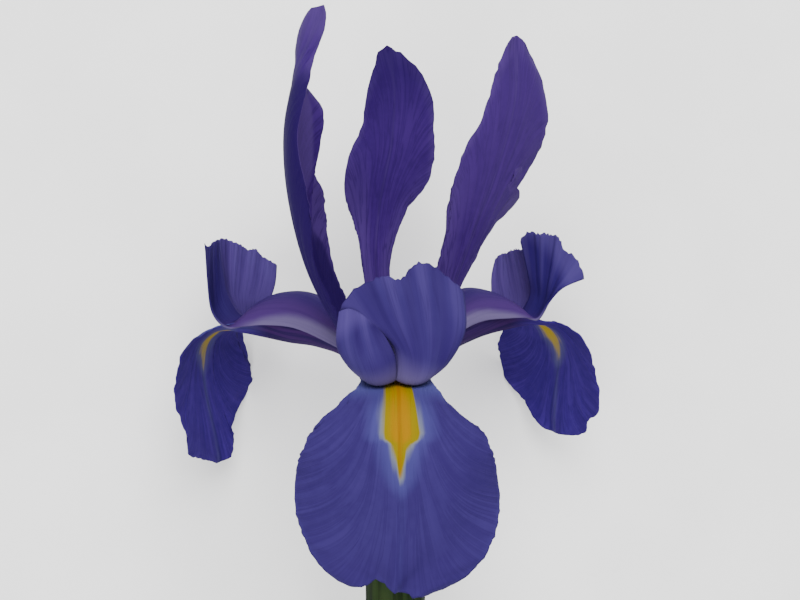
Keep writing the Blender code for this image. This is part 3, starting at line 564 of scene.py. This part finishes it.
def add_piece(name, points, faces, finish, node, marks=None):
    """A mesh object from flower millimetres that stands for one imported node. marks: arrays per point that
    the finish reads, three numbers or one each."""
    mesh = bpy.data.meshes.new(name)
    mesh.from_pydata(to_table(points).tolist(), [], [face for group in faces for face in group.tolist()])
    mesh.polygons.foreach_set("use_smooth", np.ones(len(mesh.polygons), bool))
    for mark, values in (marks or {}).items():
        values = np.asarray(values, np.float32)
        kind, key = ("FLOAT_VECTOR", "vector") if values.ndim == 2 else ("FLOAT", "value")
        mesh.attributes.new(mark, kind, "POINT").data.foreach_set(key, values.ravel())
    mesh.update()
    mesh.materials.append(finish)
    obj = linked(name, mesh)
    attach(obj, "root")
    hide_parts(node)


def both_faces(values, upper=None):
    """A per-point array for both copies of a shell; with `upper`, its last column says which face."""
    doubled = np.concatenate([values, values])
    if upper is not None:
        doubled[:len(values), upper] = 1
        doubled[len(values):, upper] = 0
    return doubled


# ---------------------------------------------------------------- petals

def vein_line(p, q, spec):
    """Which vein a point lies on: how far that vein is from the midline where the fan starts. Past the
    start a vein drifts outward at a rate in proportion to the square of its distance from the midline,
    so that q = v / (1 - c v run), and v = q / (1 + c q run). The second number is the octaves by which
    neighbouring veins have spread."""
    start, spread = spec["fan"]
    run = np.hypot(np.clip(p - start, 0, None), 2) - 2
    widening = 1 + spread * np.abs(q) * run
    return q / widening, 2 * np.log2(widening)


def hump(p, start, end):
    """Half a sine wave from start to end, 0 outside them."""
    return np.sin(np.pi * np.clip((p - start) / (end - start), 0, 1))


def petal_form(spec, s, w):
    """Middle surface of a petal: its pattern bent along the spine, with waves that grow to the margin,
    fine ruffles at the rim, low ridges along the veins and a keel on the midline."""
    length = path(spec["spine"])[0][-1]
    right = half_pattern(s, np.abs(w), spec["right"], length, spec)
    left = half_pattern(s, np.abs(w), spec["left"], length, spec)
    p = np.where(w < 0, left[..., 0], right[..., 0])
    q = np.where(w < 0, -left[..., 1], right[..., 1])
    points, normal = bend(p, q, spec)
    height, count, phase = spec["wave"]
    blade = np.clip((s - spec["split"]) / (1 - spec["split"]), 0, 1)
    near_rim = np.maximum(np.abs(w), blade**2)
    opened = np.clip(blade * 4 - 0.8, 0, 1)
    turn = np.arctan2(q, 5 + length - p)
    lift = height * near_rim**3 * opened * np.sin(count * turn * 2 + phase + p * count / length * 4)
    tall, pitch, shift = spec["ruffle"]
    run = 2 * np.pi * (p * np.sign(q) + 12 * turn) / pitch + shift
    lift += tall * near_rim**10 * opened * (np.sin(run) + 0.5 * np.sin(1.7 * run + 1))
    middle = q - np.interp(p, *zip(*spec["midrib"]))
    vein, spread = vein_line(p, middle, spec)
    pitch, relief = spec["relief"]
    lift += relief * np.sin(2 * np.pi * vein / pitch) * smooth(0.1, 0.45, blade)
    lift += spec["keel"] * np.exp(-((middle / KEEL_WIDTH) ** 2)) * (1 - 0.6 * blade)
    foot, top, tall = spec.get("ridge", (0, 1, 0))
    lift += tall * hump(p, foot, top) * np.exp(-((q / RIDGE_WIDTH) ** 2))
    width = np.abs(np.where(w < 0, left[..., 1], right[..., 1])) + 1e-6
    rim = np.minimum((1 - np.abs(w)) * width / np.maximum(np.abs(w), 0.05), (1 - s) * length)
    form = place(points + normal * lift[..., None], spec["azimuth"])
    thick = between(PETAL_THICK, smooth(0, 0.3, blade) * near_rim**3)
    return form, dict(p=p, q=q, middle=middle, vein=vein, spread=spread, rim=rim, thick=thick)


def mark_depth(outline, p, q):
    """Signed distance in mm inside the yellow mark: its half width at p less the distance from its axis."""
    run, centre, half = np.array(outline).T
    return np.interp(p, run, half) - np.abs(q - np.interp(p, run, centre))


def add_petal(node, finish, slot):
    """One petal: its form made a shell, and what its skin reads. `vein` is the vein, the distance along
    the petal and the veins' spread; `blade` the distances from midrib and margin, and which face; `mark`
    the depth inside a fall's yellow mark, or a standard's painted shade, above 0, and painted light, below
    0."""
    spec = KINDS[slot] | PETALS[node] | FINE[node]
    s, w = sheet_grid(spec["grid"])
    form, flat = petal_form(spec, s, w)
    points, faces = shell(form.reshape(-1, 3), grid_quads(*spec["grid"]), flat["thick"].ravel())
    start = spec["wave"][2] * PATTERN_SHIFT
    vein = np.stack([flat["vein"] + start, flat["p"], flat["spread"]], -1).reshape(-1, 3)
    blade = np.stack([flat["middle"], flat["rim"], 0 * s], -1).reshape(-1, 3)
    marks = {"vein": both_faces(vein), "blade": both_faces(blade, 2)}
    if "mark" in spec:
        depths = [mark_depth(spec[face], flat["p"], flat["q"]).ravel() for face in ("mark", "under")]
        marks["mark"] = np.concatenate(depths)
    # a standard's painted shade and painted light on its inner and outer faces, with a painted lit crescent
    # (window) cut into the inner face's shade
    if "inner" in spec:
        painted_shadings = [np.interp(flat["p"], *zip(*spec[face])) for face in ("inner", "outer")]
        low, high, edge = spec.get("window", (0, 1, -99))
        bow = 1.6 * hump(flat["p"], low, high) - 1.6
        painted_shadings[0] -= smooth(0, 1.2, edge - flat["q"] + bow) * painted_shadings[0]
        marks["mark"] = np.concatenate(painted_shadings).ravel()
    add_piece(node + "_petal", points, [faces], finish, node, marks)


# ---------------------------------------------------------------- style arms

def half_arm(spec, s, w, sign):
    """Middle surface of half a style arm, rows s from the column to the crest margin, columns w from
    the keel to the edge. Under the crest its section is a quarter oval; each lobe is a ruled sheet
    with a bulge, with folds that deepen to the margin and a finely toothed, ruffled rim."""
    lobe = spec["p" if sign > 0 else "n"]
    inner = np.array(spec["keel"] + lobe["inner"], float)
    outer = np.array([(r, t * sign, z) for r, t, z in spec["edge"]] + lobe["outer"], float)
    knots = np.linspace(0, 1, len(inner))
    bulge = np.zeros((len(inner), 3))
    bulge[-4:] = lobe["bulge"]
    count, phase, height = lobe["frill"]
    crest = np.clip((s - CREST_START) / (1 - CREST_START), 0, 1)
    turn = 2 * np.pi * count * w
    cut = through(*zip(*lobe["cut"]), w)
    tooth = np.sin(5.3 * turn + 2 * np.sin(1.9 * turn + phase)) + 0.7 * np.sin(11.7 * turn + phase)
    s = s * (1 - crest**4 * (cut + TOOTH_DEPTH * lobe["teeth"] * (1.7 + tooth)))
    start = through(knots, inner, s)
    reach = through(knots, outer, s) - start
    sideways = reach * np.array([0, 1, 0])
    w = w[..., None]
    oval = sideways * np.sin(np.pi / 2 * w) + (reach - sideways) * (1 - np.cos(np.pi / 2 * w))
    rounded = np.interp(s, knots, ARM_ROUND)[..., None]
    sheet = start + rounded * oval + (1 - rounded) * reach * w
    sheet = sheet + through(knots, bulge, s) * np.sin(np.pi * w).clip(0, 1) ** 0.8
    broad = crest * np.sin(turn + phase)
    fold = height * broad
    fold += FINE_PLEAT * height * crest**1.5 * np.sin(2.6 * turn + 1.5 * phase + 0.8 * np.sin(turn))
    fold += RIM_RUFFLE * lobe["teeth"] * crest**9 * np.sin(3.7 * turn + phase)
    facing = unit(np.cross(reach, np.array([0.0, 0.0, 1.0])))
    return sheet + facing * fold[..., None], broad


def add_arm(node, finish):
    """Two halves on one keel; past the split each has its own keel column, so that the lobes part."""
    spec = ARMS[node]
    s, w = sheet_grid(ARM_GRID, 0)
    halves, folds = zip(*[half_arm(spec, s, w, sign) for sign in (1, -1)])
    right = grid_quads(*ARM_GRID)
    left = right[:, ::-1] + s.size
    joined = np.arange(2 * s.size)
    parted = s[:, 0] > (len(spec["keel"]) - 1) / (len(ARM_ROUND) - 1) + 1e-6
    keel = np.flatnonzero(~parted) * ARM_GRID[1]
    joined[keel + s.size] = keel
    used, faces = np.unique(joined[np.concatenate([right, left])], return_inverse=True)
    points = place(np.stack(halves), spec["azimuth"]).reshape(-1, 3)[used]
    fold = np.stack(folds).ravel()[used]
    side = np.concatenate([w, -w]).ravel()[used]
    run = np.concatenate([s, s]).ravel()[used]
    points, faces = shell(points, faces.reshape(-1, 4), between(ARM_THICK, smooth(0.6, 1, run)))
    seed = np.full(len(side), spec["azimuth"] / 30)
    vein = both_faces(np.stack([side, run, seed], -1))
    tone, rim = [np.where(side > 0, spec["p"][key], spec["n"][key]) for key in ("tone", "rim")]
    face = both_faces(np.stack([tone, rim, 0 * side], -1), 2)
    # mark: the large folds' phase, which the skin paints as shade in the valleys and highlight on the ridges
    marks = {"vein": vein, "blade": face, "mark": both_faces(fold)}
    add_piece(node + "_sheet", points, [faces], finish, node, marks)


# ---------------------------------------------------------------- stem, ovary, bracts, stamens

def capped(points):
    """Faces and points of a closed rod: its rings joined, and a pole in the middle of either end."""
    count, sides = points.shape[:2]
    flat = points.reshape(-1, 3)
    poles = np.stack([points[0].mean(0), points[-1].mean(0)])
    turn = np.arange(sides)
    after = (turn + 1) % sides
    last = (count - 1) * sides
    foot = np.stack([after, turn, 0 * turn + count * sides], -1)
    head = np.stack([last + turn, last + after, 0 * turn + count * sides + 1], -1)
    walls = grid_quads(count, sides, wrap=True)[:, ::-1]
    return np.concatenate([flat, poles]), [walls, foot, head]


def add_rod(name, points, finish, node, marks=None):
    """A turned rod; by default its finish reads the cosine and sine of the turn and the height."""
    if marks is None:
        turn = np.arctan2(points[..., 1], points[..., 0])
        skin = np.stack([np.cos(turn), np.sin(turn), points[..., 2]], -1).reshape(-1, 3)
        marks = {"vein": np.concatenate([skin, [[0, 0, points[0, 0, 2]], [0, 0, points[-1, 0, 2]]]])}
    points, faces = capped(points)
    return add_piece(name, points, faces, finish, node, marks)


def add_stem():
    """Rod that narrows upward, with shallow ribs, a rounded cut edge and a slightly sunk cut face."""
    height = np.r_[0, 0, 0, 0.25, np.linspace(1, STEM_LENGTH, STEM_ROWS)]
    share = height / STEM_LENGTH
    radius = between(STEM_RADIUS, share)
    radius[:4] *= [0.35, 0.8, 0.94, 1]
    height[:2] += [0.3, 0.18]
    points = rings(stem_top - STEM_LENGTH + height, radius, STEM_SIDES)
    rib = 1 + 0.012 * np.sin(11 * circle(STEM_SIDES)) * (share[:, None] > 0.005) - 0.01
    points[..., :2] *= rib[..., None]
    add_rod("stem_rod", points, green("stem_skin", STEM_GREEN_AND_SHADE, 3.2), "stem")


def add_ovary():
    """Turned rod through the profile's radii, with three blunt ribs: the radius swells with the cosine of
    three times the angle. Its top rises a little round the petals' feet and closes in a low dome."""
    share = np.r_[np.linspace(0, 1, OVARY_ROWS), 1, 1]
    radius = through(*zip(*OVARY_PROFILE), share)
    radius[-2:] *= [0.9, 0.5]
    height = (share - 1) * OVARY_LENGTH + share**4 * PETAL_FOOT
    height[-2:] += [0.25, 0.5]
    points = rings(height, radius, OVARY_SIDES)
    rib = 0.97 + 0.03 * np.cos(3 * circle(OVARY_SIDES)) + 0 * share[:, None]
    points[..., :2] *= rib[..., None]
    add_rod("ovary_body", points, green("ovary_skin", OVARY_GREEN, 2.4), "ovary")


def add_column():
    """Turned rod whose radius waves a little with the height."""
    height = np.linspace(0, COLUMN_HEIGHT, COLUMN_ROWS)
    radius = COLUMN_RADIUS * (0.94 + 0.04 * np.cos(height))
    add_rod("style_column_rod", rings(GAP + height, radius, COLUMN_SIDES), lilac_flesh(),
            "style_column")


def spathe_form(spec, s, w):
    """A bract: an arc round the stem whose radius and share of the way round change up its length, with
    fine ribs along it and edges that lift a little."""
    rows = np.array(spec["rows"], float)
    height, radius, share = np.moveaxis(through(np.linspace(0, 1, len(rows)), rows, s), -1, 0)
    radius = radius + 0.06 * np.cos(26 * w) * (1 - w**6) + 0.12 * np.abs(w) ** 5 * np.sin(9 * s + 2)
    angle = math.radians(spec["azimuth"]) + w * share * np.pi
    return np.stack([radius * np.sin(angle), -radius * np.cos(angle), height], -1)


def add_spathe(node, finish):
    s, w = sheet_grid(SPATHE_GRID)
    form = spathe_form(SPATHES[node], s, w).reshape(-1, 3)
    points, faces = shell(form, grid_quads(*SPATHE_GRID)[:, ::-1], between(BRACT_THICK, w.ravel() ** 4))
    vein = both_faces(np.stack([w, s, 0 * s], -1).reshape(-1, 3))
    add_piece(node + "_bract", points, [faces], finish, node, {"vein": vein})


def add_stamen(node, azimuth, finish):
    """Filament and anther along one line: oval rings whose half widths follow the line, and in the anther
    a groove between the two pollen sacs and a grain of small bumps."""
    line = np.array([(out, 0, up) for out, up in STAMEN_LINE], float)
    knots = np.linspace(0, 1, len(line))
    fine = np.linspace(0, 1, STAMEN_ROWS)
    centre = through(knots, line, fine)
    tangent = unit(np.gradient(centre, axis=0))
    lift = np.cross(tangent, np.array([0.0, 1.0, 0.0]))
    wide, thick = np.stack([np.interp(fine, knots, column) for column in np.array(STAMEN_WIDTH).T])
    angle = circle(STAMEN_SIDES)
    anther = smooth(0.58, 0.66, fine)[:, None]
    groove = 1 - 0.22 * anther * np.exp(-((np.cos(angle) / 0.28) ** 2))
    grain = 1 + 0.05 * anther * np.sin(9 * angle) * np.sin(170 * fine)[:, None]
    side = (wide[:, None] * np.cos(angle) * grain)[..., None] * np.array([0.0, 1.0, 0.0])
    rise = (thick[:, None] * np.sin(angle) * groove * grain)[..., None] * lift[:, None]
    points = place(centre[:, None] + side + rise, azimuth)
    sac = np.concatenate([(anther + 0 * angle).ravel(), [0, 1]])
    add_rod(node + "_thread", points, finish, node, {"mark": sac})


# ---------------------------------------------------------------- materials

class Wire:
    """A node's output, written into sums like a number: every operator adds one Math node."""

    def __init__(self, paint, socket):
        self.paint = paint
        self.socket = socket

    def math(self, operation, *terms):
        sockets = dict(enumerate((self, *terms)))
        return self.paint.node("Math", {"operation": operation}, sockets)

    def __add__(self, other):
        return self.math("ADD", other)

    def __sub__(self, other):
        return self.math("SUBTRACT", other)

    def __rsub__(self, other):
        return self * -1 + other

    def __mul__(self, other):
        return self.math("MULTIPLY", other)

    def __abs__(self):
        return self.math("ABSOLUTE")

    __radd__ = __add__
    __rmul__ = __mul__


class Paint:
    """One material with a Principled shader. `node` makes every node and sets or links its sockets."""

    def __init__(self, name, roughness):
        self.material = bpy.data.materials.new(name)
        self.material.use_nodes = True
        self.tree = self.material.node_tree
        self.shader = self.tree.nodes["Principled BSDF"]
        self.fill(self.shader, {"Roughness": roughness, "Specular IOR Level": GLOSS})

    def fill(self, node, sockets):
        for key, value in sockets.items():
            socket = node.inputs[key]
            if isinstance(value, Wire):
                self.tree.links.new(value.socket, socket)
            elif socket.type == "RGBA":
                socket.default_value = (*value, 1)
            else:
                socket.default_value = value

    def node(self, kind, settings, sockets, output=0):
        made = self.tree.nodes.new("ShaderNode" + kind)
        for key, value in settings.items():
            setattr(made, key, value)
        self.fill(made, sockets)
        return Wire(self, made.outputs[output])

    def numbers(self, name):
        """The three numbers of a vector attribute."""
        whole = self.node("Attribute", {"attribute_name": name}, {}, "Vector")
        return [self.node("SeparateXYZ", {}, {0: whole}, axis) for axis in range(3)]

    def number(self, name):
        return self.node("Attribute", {"attribute_name": name}, {}, "Fac")

    def vector(self, x, y, z):
        return self.node("CombineXYZ", {}, {0: x, 1: y, 2: z})

    def noise(self, where, scale, detail=2.0, roughness=0.5):
        return self.node("TexNoise", {}, {"Vector": where, "Scale": scale, "Detail": detail,
                                          "Roughness": roughness})

    def clouds(self, scale, detail=3.0, roughness=0.5):
        """Noise that doesn't follow the surface, on Object coordinates."""
        return self.noise(self.node("TexCoord", {}, {}, "Object"), scale, detail, roughness)

    def fanned(self, vein, p, spread, scale, run):
        """Noise in lines along the veins that keeps its pitch where they spread: three layers, each four
        times finer than the last, take over every two octaves."""
        layers = [self.noise(self.vector(vein * (scale * 4**k), p * run, 7.3 * k), 1.0, 1.0, 0.6)
                  for k in range(3)]
        second, third = self.step(spread, 0.3, 1.7), self.step(spread, 2.3, 3.7)
        coarse = layers[0] + (layers[1] - layers[0]) * second
        return coarse + (layers[2] - coarse) * third

    def step(self, x, low, high):
        """0 where x is at low, 1 at high, smooth between; low may be the larger."""
        return self.node("MapRange", {"interpolation_type": "SMOOTHSTEP"},
                         {"Value": x, "From Min": low, "From Max": high})

    def threads(self, noise, width):
        """Thin lines that wander: 1 where the noise is at its middle level, 0 further off than width."""
        return self.step(abs(noise - 0.5), width, 0.0)

    def mix(self, share, first, second):
        return self.node("Mix", {"data_type": "RGBA"}, {0: share, 6: first, 7: second}, 2)

    def layers(self, ground, *coats):
        """The ground under one coat after another, each a share and a colour."""
        for share, colour in coats:
            ground = self.mix(share, ground, colour)
        return ground

    def relief(self, height, depth):
        """Bump whose full height is `depth` mm."""
        return self.node("Bump", {}, {"Height": height, "Distance": depth * MM, "Strength": 1.0})

    def finish(self, **sockets):
        self.fill(self.shader, {key.replace("_", " "): value for key, value in sockets.items()})
        return self.material


def yellow_mark(paint, depth, q, streak):
    """Colour of the signal: orange-yellow in the middle, green-yellow at its sides, a dark middle line."""
    middle = paint.mix(paint.step(depth, 0.3, 2.2), SIGNAL_SIDE, SIGNAL_MIDDLE)
    middle = paint.mix(paint.step(streak, 0.45, 0.62) * 0.5, middle, SIGNAL_SIDE)
    line = paint.step(abs(q), 0.4, 0.1)
    return paint.mix(line * 0.5, middle, SIGNAL_LINE)


def veined(paint, broad_scale, fine_scale, cloud_scale):
    """The distance along a petal; noise that runs with its veins, broad and fine; clouds; thin lines; and
    the tone that they all make."""
    vein, p, spread = paint.numbers("vein")
    broad = paint.fanned(vein, p, spread, broad_scale, 0.03)
    fine = paint.fanned(vein, p, spread, fine_scale, 0.06)
    cloud = paint.clouds(cloud_scale)
    grain = paint.clouds(600, 3.0, 0.6)
    tone = broad * 0.25 + fine * 0.3 + cloud * 0.25 + grain * 0.2
    return p, broad, fine, cloud, paint.threads(fine, 0.05), tone


def fall_skin():
    """A fall. Veins fan out of the haft; round the yellow signal the ground pales along them. Its neck under
    the crest is painted paler, partly painted light where the crest shades it. The underside is duller,
    with a darker midrib and a pale ghost of the signal."""
    paint = Paint("fall_skin", 0.62)
    p, broad, fine, cloud, lines, tone = veined(paint, 0.4, 1.3, 70)
    q, rim, upper = paint.numbers("blade")
    depth = paint.number("mark")
    glow = paint.step(depth + fine * 2, -2.8, 0.6) * paint.step(p, 47, 56)
    fringe = paint.step(depth + (fine - 0.5) * 1.6, -0.9, 0) * paint.step(p, 49, 57)
    top = paint.layers(
        paint.mix(paint.step(tone, 0.34, 0.66), FALL_DEEP, FALL_LIGHT),
        (lines * 0.45, FALL_VEIN),
        (paint.step(rim, 1.6, 0.1) * 0.25, FALL_PALE),
        # paler neck under the crest: partly the halo's blue, partly painted light where the crest shades it
        (paint.step(p, 53, 47) * 0.8, FALL_HALO_AND_LIGHT),
        (paint.step(p, 72, 84) * 0.5, FALL_VEIN),
        (glow * 0.5, FALL_HALO_AND_LIGHT),
        (fringe * 0.75, SIGNAL_FRINGE),
        (paint.step(depth + (fine - 0.5) * 1.2, -0.25, 0.3), yellow_mark(paint, depth, q, fine)))
    ghost = paint.mix(paint.step(p + fine * 6, 54, 62) * 0.6, UNDER_MARK, UNDER_CREAM)
    stripe = paint.noise(paint.vector(q * 1.1, p * 0.04, 9.0), 1.0, 2.0)
    haft = paint.mix(paint.step(stripe, 0.4, 0.6), HAFT_DARK, HAFT_LIGHT)
    under = paint.layers(
        paint.mix(paint.step(tone, 0.36, 0.64), UNDER_DEEP, UNDER_LIGHT),
        (lines * 0.5, UNDER_VEIN),
        (paint.step(abs(q), 0.7, 0.1) * paint.step(p, 50, 60) * 0.7, UNDER_VEIN),
        (paint.step(depth + fine * 1.5, -2, 1.2) * 0.7, UNDER_HALO),
        (paint.step(depth + (fine - 0.5) * 3, -0.3, 1.2) * 0.9, ghost),
        (paint.step(p, 43, 34), paint.mix(paint.step(abs(q), 1.9, 0.4) * 0.7, haft, HAFT_EDGE)))
    colour = paint.mix(upper, under, top)
    relief = paint.relief(fine * 0.7 + broad * 0.5 + cloud * 0.3 - lines * 0.15, 0.15)
    return paint.finish(Base_Color=colour, Normal=relief, Roughness=0.56 + fine * 0.14)


def standard_skin():
    """A standard: long fine veins that drift to the margin, a darker claw, a paler rim, and painted shade
    and painted light where its faces turn from or towards the light.
    """
    paint = Paint("standard_skin", 0.6)
    p, broad, fine, cloud, lines, tone = veined(paint, 0.35, 1.2, 55)
    q, rim, _ = paint.numbers("blade")
    painted_shading = paint.number("mark")
    ground = paint.layers(
        paint.mix(paint.step(tone, 0.34, 0.66), STANDARD_DEEP, STANDARD_LIGHT),
        (paint.step(rim, 5.5, 0.5) * 0.55, STANDARD_PALE_AND_LIGHT),
        (lines * 0.55, STANDARD_VEIN),
        (paint.step(abs(q), 0.7, 0.1) * 0.35, STANDARD_VEIN),
        (paint.step(p, 34, 14) * 0.5, HAFT_DARK),
        # painted shade where the mark is above 0, painted light where it is below 0
        (paint.step(painted_shading, 0, 1) * 0.9, STANDARD_PAINTED_SHADE),
        (paint.step(painted_shading, 0, -1) * 0.7, STANDARD_PALE_AND_LIGHT))
    relief = paint.relief(fine * 0.7 + broad * 0.6 + cloud * 0.3 - lines * 0.15, 0.15)
    return paint.finish(Base_Color=ground, Normal=relief, Roughness=0.54 + fine * 0.14)


def arm_skin():
    """A style arm: thin dark keel, blue-violet back, pinker flanks and a whitish lower band, partly a
    painted highlight; the crest is grey-violet with veins that fan to a lighter rim, partly a painted
    highlight, with painted shade in the cleft between its lobes and in its folds, and painted highlights on
    the folds' ridges."""
    paint = Paint("style_arm_skin", 0.58)
    side, run, seed = paint.numbers("vein")
    tone, rim, upper = paint.numbers("blade")
    fold = paint.number("mark")
    across = abs(side)
    broad = paint.noise(paint.vector(side * 3.2, run * 2.2, seed), 1.0, 2.0)
    fine = paint.noise(paint.vector(side * 15, run * 1.6, seed + 4), 1.0, 2.0, 0.6)
    cloud = paint.clouds(90)
    spread = across + (cloud - 0.5) * 0.2
    # pale lower band, partly a painted highlight along the arm's lower edge
    band = paint.step(spread - run * 0.7, 0.42, 0.62) * paint.step(run, 0.63, 0.45)
    back = paint.layers(
        paint.mix(paint.step(spread, 0.2, 0.65), ARM_BACK, ARM_FLANK),
        (band * 0.85, ARM_BAND_AND_HIGHLIGHT),
        (paint.step(across, 0.05, 0.015) * 0.7, ARM_KEEL_AND_SHADE),
        (paint.step(fine, 0.5, 0.34) * 0.15, ARM_KEEL_AND_SHADE))
    crest = paint.layers(
        paint.mix(paint.step(broad * 0.6 + cloud * 0.4, 0.36, 0.62), CREST_DEEP, CREST_LIGHT),
        # tone makes each lobe bluer and darker or pinker and paler: partly its own colour, partly painted
        # shade and painted light on lobes turned from or towards the lamps
        (paint.step(tone, 0, -1) * 0.8, CREST_BLUE_AND_SHADE),
        (paint.step(tone, 0, 1) * 0.8, CREST_PINK_AND_LIGHT),
        # painted shade in the cleft between the lobes
        (paint.step(across, 0.2, 0.02) * 0.45, ARM_KEEL_AND_SHADE),
        # painted shade in the folds' valleys and painted highlight on their ridges
        (paint.step(fold, -0.1, -0.9) * 0.35, ARM_KEEL_AND_SHADE),
        (paint.step(fold, 0.1, 0.9) * 0.3, CREST_RIM_AND_HIGHLIGHT),
        (paint.threads(fine, 0.03) * 0.3, ARM_KEEL_AND_SHADE),
        # paler rim, partly a painted highlight
        (paint.step(run + across * 0.1, 0.97, 1.04) * rim * 0.8, CREST_RIM_AND_HIGHLIGHT))
    top = paint.mix(paint.step(run, 0.6, 0.74), back, crest)
    inner = paint.mix(paint.step(run, 0.6, 0.8), ARM_BAND_AND_HIGHLIGHT, crest)
    relief = paint.relief(fine * 0.8 + broad * 0.5 + cloud * 0.4, 0.16)
    return paint.finish(Base_Color=paint.mix(upper, inner, top), Normal=relief,
                        Roughness=0.52 + cloud * 0.14)


def green(name, colours, pitch):
    """Green skin: light streaks along the stem, dark flecks between them, paler and yellower in places."""
    paint = Paint(name, 0.5)
    around, across, height = paint.numbers("vein")
    streak = paint.noise(paint.vector(around * pitch, across * pitch, height * 0.05), 1.0, 3.0)
    fleck = paint.noise(paint.vector(around * 4 * pitch, across * 4 * pitch, height * 0.3), 1.0, 2.0)
    cloud = paint.clouds(60, 2.0)
    dark, light, pale = colours
    ground = paint.layers(
        paint.mix(paint.step(streak, 0.36, 0.64), dark, light),
        (paint.step(cloud, 0.5, 0.75) * 0.4, pale),
        (paint.step(fleck, 0.45, 0.3) * 0.4, dark))
    relief = paint.relief(streak + fleck * 0.5, 0.08)
    return paint.finish(Base_Color=ground, Normal=relief, Roughness=0.42 + cloud * 0.2)


def bract_skin():
    """A bract: parallel veins on dark green, a papery brown-white margin and tip."""
    paint = Paint("spathe_skin", 0.5)
    side, run, _ = paint.numbers("vein")
    streak = paint.noise(paint.vector(side * 9, run * 1.5, 0.3), 1.0, 3.0, 0.6)
    cloud = paint.clouds(60)
    dry = paint.step(abs(side) + (streak - 0.5) * 0.2, 0.9, 0.99)
    dry = dry.math("MAXIMUM", paint.step(run + (streak - 0.5) * 0.1, 0.93, 1.0))
    ground = paint.layers(
        paint.mix(paint.step(streak, 0.4, 0.62), SPATHE_DARK, SPATHE_LIGHT),
        (paint.step(cloud, 0.5, 0.75) * 0.4, SPATHE_PALE),
        (dry * 0.8, SPATHE_DRY))
    relief = paint.relief(streak + cloud * 0.4, 0.12)
    return paint.finish(Base_Color=ground, Normal=relief, Roughness=0.45 + cloud * 0.2)


def lilac_flesh():
    paint = Paint("column_skin", 0.45)
    cloud = paint.clouds(250)
    ground = paint.mix(paint.step(cloud, 0.35, 0.65), COLUMN_PALE, COLUMN_DEEP)
    return paint.finish(Base_Color=ground, Normal=paint.relief(cloud, 0.05), Roughness=0.4 + cloud * 0.2)


def stamen_skin():
    """Pale violet filament; dusty yellow anther with a fine grain."""
    paint = Paint("stamen_skin", 0.6)
    anther = paint.number("mark")
    grain = paint.clouds(900, 2.0)
    thread = paint.mix(paint.step(grain, 0.35, 0.65), COLUMN_DEEP, COLUMN_PALE)
    pollen = paint.mix(paint.step(grain, 0.35, 0.65), ANTHER_DARK, ANTHER_LIGHT)
    return paint.finish(Base_Color=paint.mix(anther, thread, pollen), Normal=paint.relief(grain, 0.1),
                        Roughness=0.55 + grain * 0.2)


# ---------------------------------------------------------------- table, light, camera

def add_table():
    """Pale, faintly mottled tabletop under the flower."""
    paint = Paint("tabletop", 0.8)
    grain = paint.clouds(30)
    colour = paint.mix(paint.step(grain, 0.3, 0.7), *TABLE_PALE)
    mesh = bpy.data.meshes.new("tabletop")
    size = TABLE_SIZE
    mesh.from_pydata([(-size, -size, 0), (size, -size, 0), (size, size, 0), (-size, size, 0)], [],
                     [(0, 1, 2, 3)])
    mesh.materials.append(paint.finish(Base_Color=colour, Roughness=0.75 + grain * 0.1))
    return linked("tabletop", mesh)


def add_lamp(name, position, target, watts):
    """Square area lamp that faces its target."""
    lamp = bpy.data.lights.new(name, "AREA")
    lamp.size = LAMP_SIZE
    lamp.energy = watts
    obj = linked(name, lamp)
    obj.location = position
    aim = Vector(target) - Vector(position)
    obj.rotation_euler = aim.to_track_quat("-Z", "Y").to_euler()
    return obj


def add_world():
    world = bpy.data.worlds.new("soft_room")
    world.use_nodes = True
    background = world.node_tree.nodes["Background"]
    background.inputs["Color"].default_value = (1, 1, 1, 1)
    background.inputs["Strength"].default_value = ROOM_LIGHT
    bpy.context.scene.world = world


def add_camera():
    """Camera in front of the flower and a little above it, in the flower's own axes, laid down with it."""
    tilt = math.radians(CAMERA_DROP)
    back = np.array([0, -math.cos(tilt), math.sin(tilt)])
    eye = np.array([CAMERA_SIDE, 0, CAMERA_HEIGHT]) + CAMERA_REACH * back
    forward = np.array([0, math.cos(tilt), -math.sin(tilt)])
    up = np.array([0, math.sin(tilt), math.cos(tilt)])
    right = np.cross(forward, up)
    origin = lay_down(np.zeros(3))
    axes = [lay_down(axis) - origin for axis in (right, up, -forward)]
    camera = bpy.data.cameras.new("camera")
    camera.sensor_width = CAMERA_SENSOR
    camera.lens = CAMERA_LENS
    camera.clip_start = CAMERA_NEAR
    obj = linked("camera", camera)
    turn = Matrix([list(row) for row in np.array(axes).T]).to_4x4()
    obj.matrix_world = Matrix.Translation(Vector(to_table(eye))) @ turn
    bpy.context.scene.camera = obj


# ---------------------------------------------------------------- the flower

def build():
    fall, standard, arm, bract = fall_skin(), standard_skin(), arm_skin(), bract_skin()
    for node in PETALS:
        skin, slot = (fall, "fall") if node.startswith("fall") else (standard, "standard")
        add_petal(node, skin, slot)
    for node in ARMS:
        add_arm(node, arm)
    yellow = stamen_skin()
    for side, azimuth in STAMENS.items():
        add_stamen("stamen_" + side, azimuth, yellow)
    for node in SPATHES:
        add_spathe(node, bract)
    add_column()
    add_ovary()
    add_stem()


build()
table = add_table()
add_world()
aim = (Vector(cad_box[0]) + Vector(cad_box[1])) / 2
aim.z = LAMP_AIM
lamps = [add_lamp(name, aim + Vector(reach), aim, watts) for name, (reach, watts) in LAMPS.items()]
add_camera()
